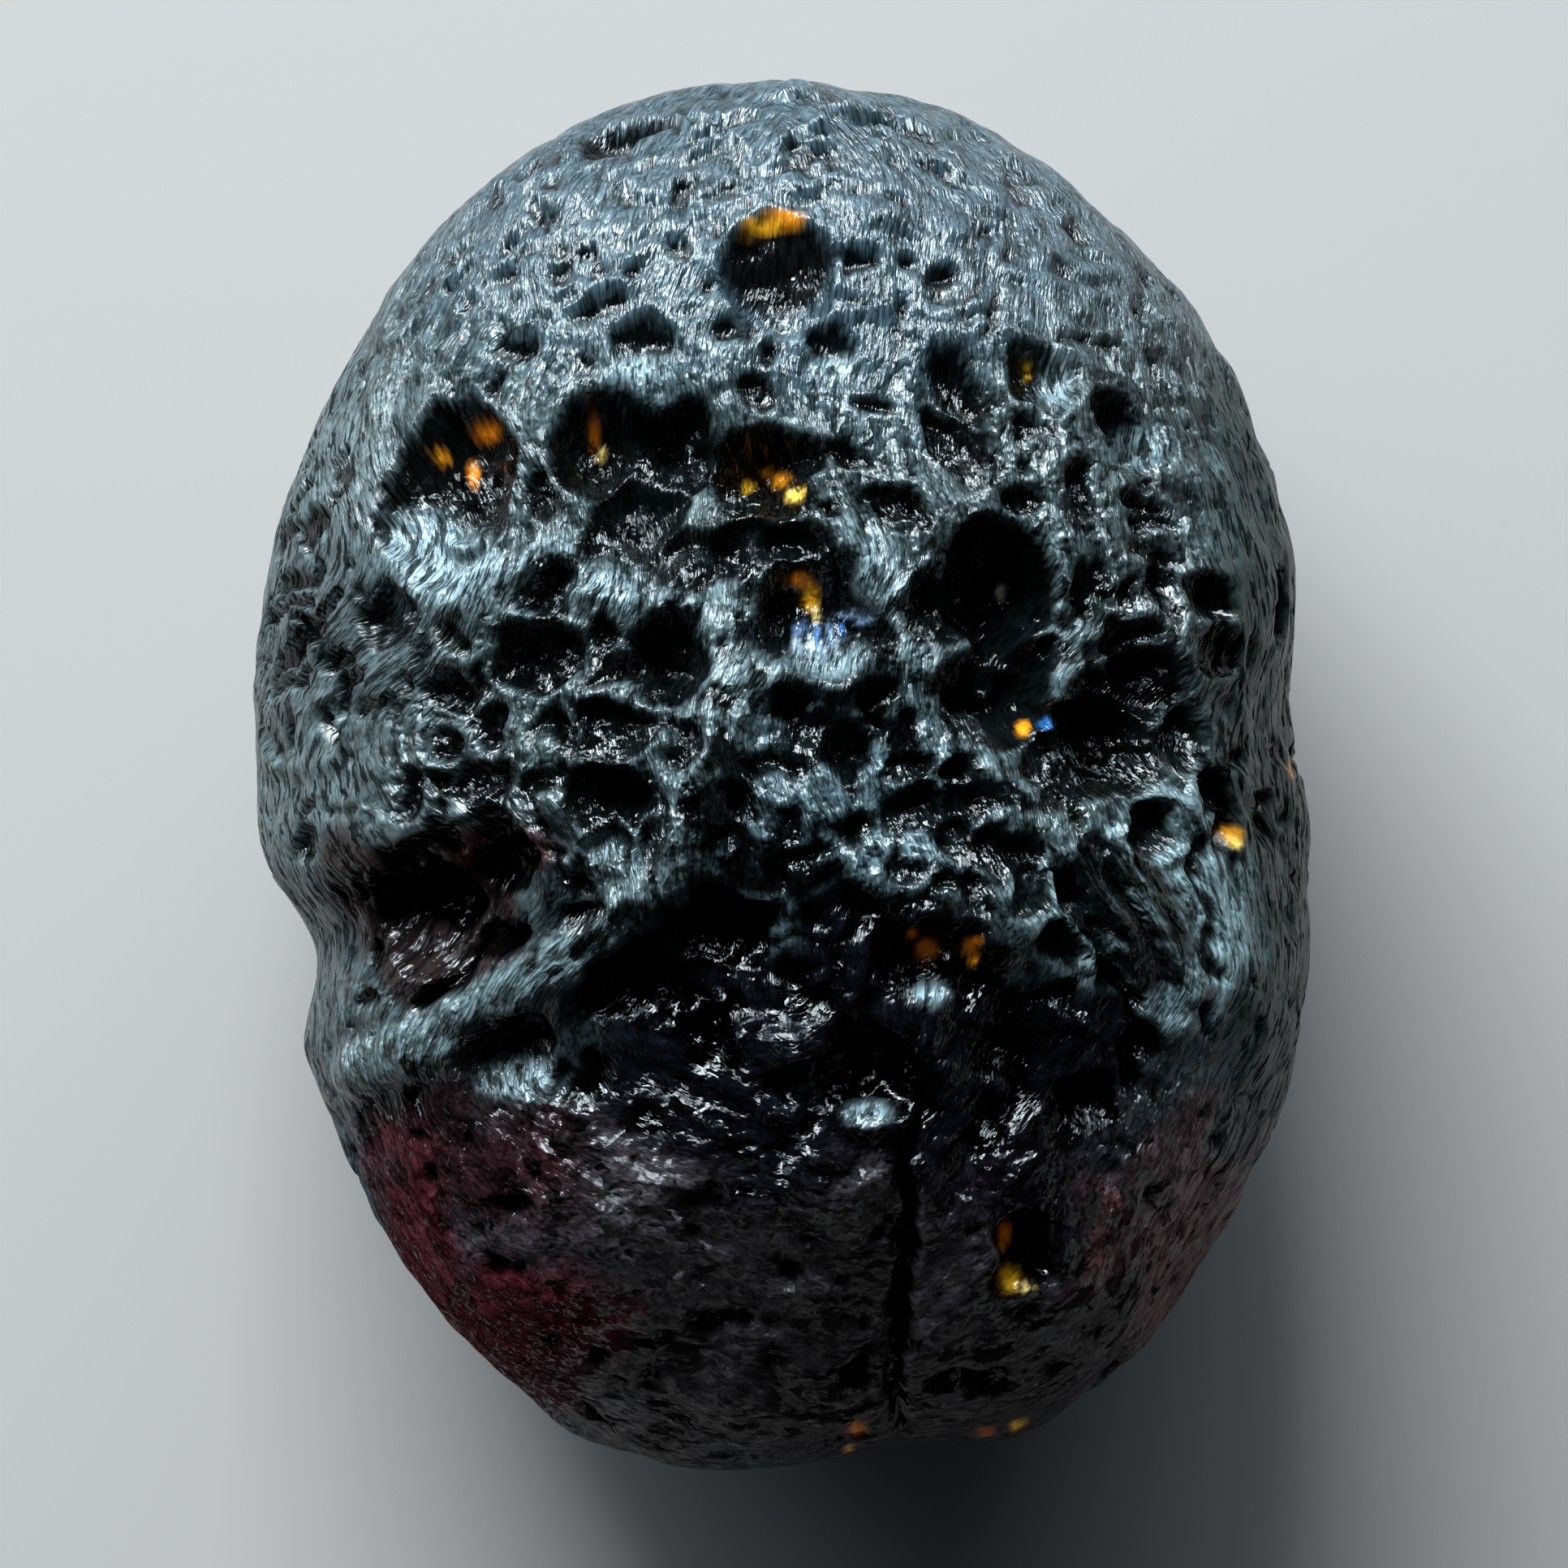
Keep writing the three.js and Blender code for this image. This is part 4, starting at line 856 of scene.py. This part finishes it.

# %% [markdown]
# In some pits the glass is so thin that light comes through. It shows as small amber spots, and one pit has a
# blue sheen streaked with white. To let real light through, the solid would have to be hollow where its
# bubbles are. A spot is a colour here, which the material lets glow a little: painted light through the
# glass, a painted sheen on the blue pit and painted glints in its white streaks.

# %% Spots of light
TONES = np.array([
    (0.18, 0.03, 0.004), (0.62, 0.17, 0.006), (0.80, 0.42, 0.02),
    (0.85, 0.75, 0.35), (0.02, 0.09, 0.26), (0.5, 0.62, 0.7),
])
GLOWS = [  # x, y, half width, half height, tone: 0 is red-brown, 1 orange, 2 yellow, 3 pale, 4 blue, 5 white
    (-0.8, 22.2, 0.9, 0.4, 1.7), (0.1, 22.55, 0.8, 0.35, 1.2), (-12.0, 13.9, 0.65, 0.45, 0.8),
    (-13.8, 12.9, 0.4, 0.28, 1.3), (-12.5, 12.2, 0.3, 0.55, 1.0), (-7.6, 14.0, 0.28, 0.9, 0.7),
    (-7.3, 13.0, 0.2, 0.3, 2.5), (-1.4, 11.7, 0.25, 0.35, 2.0), (-0.6, 12.2, 0.35, 0.25, 1.3),
    (-0.1, 11.9, 0.4, 0.35, 1.2), (0.5, 11.3, 0.45, 0.3, 2.2), (0.75, 7.85, 0.45, 0.4, 0.8),
    (1.15, 7.2, 0.35, 0.6, 1.6), (1.4, 6.5, 0.2, 0.35, 2.6), (9.9, 16.5, 0.15, 0.6, 2.0),
    (5.2, -6.35, 0.3, 0.25, 0.6), (5.8, -6.95, 0.55, 0.5, 0.7), (7.55, -6.8, 0.4, 0.4, 0.9),
    (7.7, -7.4, 0.15, 0.4, 1.2), (18.2, -2.35, 0.6, 0.35, 1.4), (18.4, -2.75, 0.35, 0.25, 2.2),
    (20.9, 0.3, 0.25, 0.5, 1.2), (19.2, -16.1, 0.35, 0.4, 0.7), (9.0, -18.5, 0.35, 0.6, 0.8),
    (9.15, -20.3, 0.45, 0.6, 2.0), (9.9, -20.8, 0.4, 0.15, 2.6), (3.0, -26.6, 0.4, 0.45, 1.0),
    (2.7, -27.5, 0.2, 0.2, 1.6), (9.6, -26.6, 0.35, 0.4, 2.0), (8.3, -26.8, 0.5, 0.3, 0.2),
    (9.7, 1.9, 0.3, 0.35, 1.3), (0.75, 5.9, 0.2, 0.45, 4.2), (1.35, 5.55, 0.2, 0.7, 4.1),
    (1.9, 5.7, 0.2, 0.55, 4.3), (2.35, 5.9, 0.15, 0.4, 4.0), (0.5, 5.3, 0.15, 0.4, 4.9),
    (1.05, 5.1, 0.15, 0.45, 5.0), (1.65, 4.9, 0.15, 0.4, 4.8), (2.2, 5.1, 0.12, 0.35, 4.9),
    (2.6, 6.5, 0.5, 0.14, 4.4), (3.3, 6.25, 0.4, 0.14, 4.3), (8.8, 7.4, 0.25, 0.4, 3.6),
    (10.7, 2.1, 0.4, 0.3, 4.0),
]
STEEP_TO_LEVEL = (0.25, 0.7)  # the upright part of the outward direction on a flank and on level ground
SPOT_REACH = (0.9, 6.0)  # how far above and below its middle a spot reaches on each
SPOT_EDGE, SPOT_SHARE, SPOT_SOFTNESS = 0.6, 0.85, 0.5  # where its reach starts to fade, its size, its edge


def spot_cover(points, x, y, wide, high):
    """The cover of a small spot. On a steep flank a place of the plan is a long upright strip, so a spot
    there is kept near the height of its middle."""
    middle = oval_points(directions_to(np.array([x]), np.array([y]), 1))
    reach = np.interp(outward(middle)[0, 2], STEEP_TO_LEVEL, SPOT_REACH)
    level = 1 - smooth_step(SPOT_EDGE * reach, reach, np.abs(points[:, 2] - middle[0, 2]))
    return patch_cover(points, x, y, SPOT_SHARE * wide, SPOT_SHARE * high, SPOT_SOFTNESS) * level


glows = np.zeros(len(plan))
for *oval, tone in GLOWS:
    cover = spot_cover(plan, *oval)
    lay_over(coat[:, :3], cover, [np.interp(tone, range(len(TONES)), channel) for channel in TONES.T])
    glows = np.maximum(glows, cover)
print(len(GLOWS), "spots,", (glows > 0.5).sum(), "vertices glow")

# %% [markdown]
# The finest patterns are too small for the mesh and belong to the material, but they aren't equally strong
# all over. Strands run along the flow, rubble is the grain between bubbles, dull glass mirrors nothing, and
# flecks are grooved dashes with painted shade in them. Their strengths are laid over the stone in the same
# way.

# %% Strengths of the fine patterns
# The second strengths are for the lower pit walls that carry a painted highlight.
SKIN_TEXTURE, HIGHLIGHT_WALL_TEXTURE = (1.4, 0.7, 0.0, 0.55), (2.0, 0.3, 0.0, 0.9)
UNDER_TEXTURE = np.array([0.1, 0.55, 0.2, 0.1])
TEXTURES = [  # x, y, half width, half height, softness, strands, rubble, dullness, flecks
    (0.0, 25.0, 20.0, 9.5, 0.3, 1.6, 0.1, 0.0, 0.4), (-20.5, 6.0, 5.0, 15.0, 0.3, 0.6, 0.2, 0.1, 0.85),
    (20.5, 2.0, 4.0, 20.0, 0.3, 0.4, 0.2, 0.3, 0.8), (3.0, -10.6, 13.5, 6.4, 0.4, 0.6, 0.3, 0.5, 0.4),
    (11.0, -12.5, 4.0, 5.5, 0.4, 0.6, 0.3, 0.7, 0.4), (0.0, -23.0, 20.0, 9.0, 0.4, 0.2, 0.65, 0.6, 0.3),
    (-13.6, -5.2, 4.4, 3.8, 0.3, 0.4, 0.25, 0.85, 0.6), (-14.0, -20.6, 5.4, 7.0, 0.4, 0.5, 0.6, 2.5, 0.3),
    (9.0, 5.4, 2.3, 4.4, 0.25, 0.4, 0.2, 1.0, 0.0), (14.0, 1.4, 2.4, 2.2, 0.4, 1.6, 0.2, 0.6, 0.3),
    (0.2, 9.5, 1.9, 0.9, 0.4, 0.4, 0.2, 1.0, 0.0), (-0.7, 13.2, 2.4, 1.1, 0.4, 0.6, 0.2, 1.0, 0.3),
    (-5.0, 10.8, 2.0, 1.8, 0.4, 1.4, 0.2, 0.6, 0.3), (-6.4, 14.2, 3.4, 1.1, 0.4, 0.6, 0.2, 1.0, 0.0),
    (-13.2, 13.8, 2.6, 1.5, 0.4, 1.0, 0.2, 0.7, 0.3),
]

texture = np.tile(SKIN_TEXTURE, (len(plan), 1))
for *oval, strands, rubble, dull, flecks in TEXTURES:
    lay_over(texture, patch_cover(plan, *oval), (strands, rubble, dull, flecks))
for oval in HIGHLIGHT_WALLS:
    lay_over(texture, patch_cover(plan, *oval, HIGHLIGHT_WALL_SOFTNESS), HIGHLIGHT_WALL_TEXTURE)
above = smooth_step(*FLANK_FADE, plan[:, 2])[:, None]
texture = UNDER_TEXTURE + above * (texture - UNDER_TEXTURE)
print("mean strengths:", texture.mean(0).round(2))

# %% [markdown]
# A picture wrapped round the stone would be one way to carry these values to the material. The faces of the
# mesh are about a third of a millimetre wide, so the values can be stored on its vertices instead, as
# attributes.

# %% Store the values on the mesh
ATTRIBUTE_KEYS = {"FLOAT": "value", "FLOAT_VECTOR": "vector", "FLOAT_COLOR": "color"}


def give_attribute(piece, name, kind, values):
    """Stores one value for each vertex, for a material to read."""
    store = piece.data.attributes.new(name, kind, "POINT")
    store.data.foreach_set(ATTRIBUTE_KEYS[kind], np.asarray(values, np.float32).ravel())


for name, values in zip(("strands", "rubble", "dull", "flecks"), texture.T):
    give_attribute(stone, name, "FLOAT", values)
give_attribute(stone, "flow", "FLOAT_VECTOR", flow)
give_attribute(stone, "satin", "FLOAT", coat[:, 3])
give_attribute(stone, "glow", "FLOAT", glows)
give_attribute(stone, "colour", "FLOAT_COLOR", np.column_stack([coat[:, :3], np.ones(len(coat))]))
print("stored", len(plan), "values of each kind")

# %% [markdown]
# ## Materials
# A material is a net of nodes. It could be laid out by hand in the editor. Two small classes write it down as
# sums instead: a wire is one output of a node, and adding or multiplying wires puts in the nodes that do it.

# %% Material helper
class Shader:
    """One material's nodes."""

    def __init__(self, name):
        self.material = bpy.data.materials.new(name)
        self.material.use_nodes = True
        self.tree = self.material.node_tree
        self.tree.nodes.clear()

    def add(self, kind, inputs, output=0, **settings):
        """Puts in a node, sets it up, then fills its sockets with numbers, colours or wires."""
        node = self.tree.nodes.new(kind)
        for key, value in settings.items():
            setattr(node, key, value)
        for key, value in inputs.items():
            if isinstance(value, Wire):
                self.tree.links.new(value.socket, node.inputs[key])
            else:
                node.inputs[key].default_value = value
        return None if output is None else Wire(self, node.outputs[output])


class Wire:
    """A socket that can be added, multiplied and so on, each time through a Math node."""

    def __init__(self, shader, socket):
        self.shader, self.socket = shader, socket

    def math(self, operation, *others, clamp=False):
        """Any operation of the Math node on this wire and others, held between 0 and 1 if it is clamped."""
        values = dict(enumerate((self, *others)))
        return self.shader.add("ShaderNodeMath", values, operation=operation, use_clamp=clamp)

    def __add__(self, other):
        return self.math("ADD", other)

    def __sub__(self, other):
        return self.math("SUBTRACT", other)

    def __mul__(self, other):
        return self.math("MULTIPLY", other)

    def __rsub__(self, other):
        return self.shader.add("ShaderNodeMath", {0: other, 1: self}, operation="SUBTRACT")

    __radd__, __rmul__ = __add__, __mul__

    def spread(self, low, high):
        """A wire that runs from 0 to 1, spread out so that it runs from low to high."""
        return self * (high - low) + low

    def beside(self, output):
        """Another output of the same node."""
        return Wire(self.shader, self.socket.node.outputs[output])


# %% [markdown]
# ## Black glass
# The glass takes its place along the flow and its strengths from the mesh. Blotches and bends follow Object
# coordinates, which are metres, so their scale is about one grain to a millimetre.

# %% What the glass reads
glass = Shader("tektite_glass")
NOISE_ROUGHNESS = 0.55
BLOTCHES = (900, 900, 900)  # grains to the metre
BLOTCH_DETAIL = 3  # how many finer layers the blotches have
BEND = (1.2, 1.2, 1.2)  # how far the flow is bent for rubble


def stored(name, output="Fac"):
    """A value that the mesh stores for each vertex."""
    return glass.add("ShaderNodeAttribute", {}, output, attribute_name=name)


def vector_math(operation, *values, output=0):
    """Maths on places or colours, through a Vector Math node."""
    return glass.add("ShaderNodeVectorMath", dict(enumerate(values)), output, operation=operation)


def stretched(place, scale):
    """A place with each coordinate multiplied, so that a noise of size 1 is that much finer."""
    return vector_math("MULTIPLY", place, scale)


def noise(place, detail):
    """A noise from 0 to 1 whose grains are 1 across."""
    values = {"Vector": place, "Scale": 1.0, "Detail": detail, "Roughness": NOISE_ROUGHNESS}
    return glass.add("ShaderNodeTexNoise", values, "Fac")


colour, satin, glow = stored("colour", "Color"), stored("satin"), stored("glow")
flow_place = stored("flow", "Vector")
grain_place = stretched(glass.add("ShaderNodeTexCoord", {}, "Object"), BLOTCHES)
bend = glass.add("ShaderNodeTexNoise", {"Vector": grain_place, "Scale": 1.0}, "Color")
bent_flow = vector_math("MULTIPLY_ADD", bend, BEND, flow_place)
blotches = noise(grain_place, BLOTCH_DETAIL)
print(len(glass.tree.nodes), "nodes read the stone")

# %% [markdown]
# Each fine pattern is a noise on the flow's coordinates, drawn out along it. Strands are thin and long, and
# dashes are shorter. Cracks are the lines where a noise passes its middle, and the plates between them are
# flat. Chips are cells that each lean their own way: the lean is the cell's random colour, and the height is
# the dot product of the lean with the offset from the cell's middle.

# %% Strands, flecks, plates, folds and chips
STRANDS, DASHES, CRACKS, FOLDS, CHIPS = (  # grains to the millimetre across the flow, along it, and third
    (5.0, 1.2, 5.0), (3.6, 0.8, 3.6), (3.2, 1.0, 3.2), (1.2, 0.8, 1.2), (1.6, 0.9, 1.6),
)
FINE, PLAIN = 2, 1  # how many finer layers a noise has
FLECKS_OVER, FLECK_CONTRAST = 0.54, 30  # a fleck is where the dashes pass this, with this steep an edge
PLATE_CONTRAST = 6  # a crack is narrower for a larger number
MIDDLE_GREY = (0.5, 0.5, 0.5)


def valleys(place, detail):
    """0 along the lines where a noise passes its middle, and up to 1 away from them."""
    return noise(place, detail).spread(-1, 1).math("ABSOLUTE")


strands = noise(stretched(flow_place, STRANDS), FINE)
dashes = noise(stretched(flow_place, DASHES), FINE)
flecks = ((dashes - FLECKS_OVER) * FLECK_CONTRAST).math("MULTIPLY", 1, clamp=True) * stored("flecks")
plates = (valleys(stretched(flow_place, CRACKS), PLAIN) * PLATE_CONTRAST).math("MINIMUM", 1)
folds = valleys(stretched(bent_flow, FOLDS), FINE)
chip_place = stretched(bent_flow, CHIPS)
chip_middle = glass.add("ShaderNodeTexVoronoi", {"Vector": chip_place, "Scale": 1.0}, "Position")
chip_lean = vector_math("SUBTRACT", chip_middle.beside("Color"), MIDDLE_GREY)
chip_offset = vector_math("SUBTRACT", chip_place, chip_middle)
chips = vector_math("DOT_PRODUCT", chip_offset, chip_lean, output="Value")
print(len(glass.tree.nodes), "nodes for the patterns")

# %% [markdown]
# The patterns do two things. They are a height for the Bump node, in millimetres, and they make the colour
# and the gloss uneven. Flecks and dull places mirror nothing. How strongly a surface mirrors could vary in
# one shader, but a model loses that when it is exported, so a matte shader is mixed in there.

# %% Relief, colour and gloss
STRAND_HEIGHT, PLATE_HEIGHT, FLECK_DEPTH, FOLD_HEIGHT, CHIP_HEIGHT = 0.1, 0.015, 0.02, 0.12, 1.1
BUMP_UNIT = 0.001  # metres to a height of 1
SATIN_ROUGHNESS, BLOTCH_ROUGHNESS, LEAST_ROUGHNESS = 0.22, 0.08, 0.06
# Painted shade: the colour drops along the cracks between the plates and in the flecks, which are grooves in
# the height.
BLOTCH_SHADES, CRACK_PAINTED_SHADES = (0.2, 1.8), (0.3, 1.0)  # times the colour
STREAK_GAIN, STREAK_SHADE = 2.5, 1.1  # how fast streaks grow with the strands' strength, and their mean shade
# Flecks darken the colour as painted shade.
FLECK_PAINTED_SHADE, FLECK_DULLNESS = 0.95, 0.9
GLASS_IOR, GLOW_STRENGTH, MATTE_ROUGHNESS = 1.5, 0.1, 0.8


def scaled(tint, amount):
    """A colour times a number."""
    return glass.add("ShaderNodeVectorMath", {0: tint, "Scale": amount}, operation="SCALE")


strand_strength = stored("strands")
lines = strands * STRAND_HEIGHT + plates * PLATE_HEIGHT - flecks * FLECK_DEPTH
rubble = folds * FOLD_HEIGHT + chips * CHIP_HEIGHT
height = strand_strength * lines + stored("rubble") * rubble
bump = glass.add("ShaderNodeBump", {"Height": height, "Strength": 1.0, "Distance": BUMP_UNIT}, "Normal")
rough = satin * SATIN_ROUGHNESS + blotches * BLOTCH_ROUGHNESS + LEAST_ROUGHNESS
streaks = strands.spread(-1, 1) * (strand_strength * STREAK_GAIN).math("MINIMUM", 1) + STREAK_SHADE
shade = blotches.spread(*BLOTCH_SHADES) * plates.spread(*CRACK_PAINTED_SHADES) * streaks
shade = shade * (1 - flecks * FLECK_PAINTED_SHADE) * (1 - glow) + glow
uneven, glowing = scaled(colour, shade), scaled(colour, glow)
glossy = glass.add("ShaderNodeBsdfPrincipled", {
    "Base Color": uneven, "Roughness": rough, "IOR": GLASS_IOR, "Normal": bump,
    "Emission Color": glowing, "Emission Strength": GLOW_STRENGTH,
}, "BSDF")
matte = glass.add("ShaderNodeBsdfPrincipled", {
    "Base Color": uneven, "Roughness": MATTE_ROUGHNESS, "Specular IOR Level": 0.0, "Normal": bump,
}, "BSDF")
dullness = (flecks * FLECK_DULLNESS + stored("dull") * plates).math("MULTIPLY", 1 - glow, clamp=True)
both = glass.add("ShaderNodeMixShader", {0: dullness, 1: glossy, 2: matte})
glass.add("ShaderNodeOutputMaterial", {"Surface": both}, None)
stone.data.materials.append(glass.material)
print(len(glass.tree.nodes), "nodes in", glass.material.name)

# %% [markdown]
# ## Floor
# A stone like this is shown on a plain pale sheet. The sheet is one quad, large enough to reach out of every
# view, and a warm grey that leaves the stone the darkest thing in sight.

# %% Floor
FLOOR_REACH, FLOOR_COLOUR, FLOOR_ROUGHNESS = 3, (0.36, 0.33, 0.315, 1), 0.8
CORNERS = [(-1, -1), (1, -1), (1, 1), (-1, 1)]

floor_mesh = bpy.data.meshes.new("floor")
floor_mesh.from_pydata([(FLOOR_REACH * x, FLOOR_REACH * y, 0) for x, y in CORNERS], [], [(0, 1, 2, 3)])
floor = bpy.data.objects.new("floor", floor_mesh)
bpy.context.scene.collection.objects.link(floor)
pale = Shader("pale_floor")
sheet = {"Base Color": FLOOR_COLOUR, "Roughness": FLOOR_ROUGHNESS}
surface = pale.add("ShaderNodeBsdfPrincipled", sheet, "BSDF")
pale.add("ShaderNodeOutputMaterial", {"Surface": surface}, None)
floor_mesh.materials.append(pale.material)
print("floor,", 2 * FLOOR_REACH, "metres wide")

# %% [markdown]
# ## Lights
# Black glass shows what it mirrors more than what falls on it. Two soft panels stand beyond the cap, a window
# and a wide bright wall. They are low, so that every ridge has a bright side towards the cap and a dark one
# away from it. The room adds next to nothing, which keeps the pits black.

# %% Lights
LIGHTS = [  # name, place, size, power, colour
    ("window", (-0.2, 0.62, 0.36), (0.5, 0.42), 17, (0.86, 0.95, 1.0)),
    ("bright_wall", (-0.25, 0.95, 0.33), (2.2, 1.0), 34, (0.72, 0.90, 1.0)),
]
LIGHTS_AIM = Vector((0, 0, 0.015))  # the middle of the stone
ROOM_COLOUR, ROOM_STRENGTH = (0.8, 0.88, 1.0, 1), 0.02


def soft_light(name, place, size, power, tint):
    """An upright panel of light that faces the stone and isn't seen itself."""
    lamp = bpy.data.lights.new(name, "AREA")
    lamp.shape, lamp.size, lamp.size_y = "RECTANGLE", *size
    lamp.energy, lamp.color = power, tint
    holder = bpy.data.objects.new(name, lamp)
    holder.location = place
    holder.rotation_euler = (LIGHTS_AIM - Vector(place)).to_track_quat("-Z", "Y").to_euler()
    holder.visible_camera = False
    bpy.context.scene.collection.objects.link(holder)
    print(name, "of", power, "watts")


for row in LIGHTS:
    soft_light(*row)
world = bpy.data.worlds.new("room")
world.use_nodes = True
world.node_tree.nodes["Background"].inputs["Color"].default_value = ROOM_COLOUR
world.node_tree.nodes["Background"].inputs["Strength"].default_value = ROOM_STRENGTH
bpy.context.scene.world = world
bpy.context.scene.view_settings.view_transform = "Standard"

# %% [markdown]
# ## Camera
# The camera looks straight down. It has a long lens and stands far off, so that the flanks hardly show and
# the outline is the widest section's. Its height follows from the width that the frame should hold.

# %% Camera
FRAME_WIDTH, LENS, SENSOR = 64.4, 400, 36
AIM = (0.07, -0.33, 0)  # from the middle of the widest section

camera = bpy.data.cameras.new("camera")
camera.lens, camera.sensor_width = LENS, SENSOR
camera.clip_start, camera.clip_end = 0.01, 10
holder = bpy.data.objects.new("camera", camera)
holder.location = (AIM + shift + (0, 0, FRAME_WIDTH / SENSOR * LENS)) / METRE
bpy.context.scene.collection.objects.link(holder)
bpy.context.scene.camera = holder
print("camera at", tuple(round(part, 4) for part in holder.location))
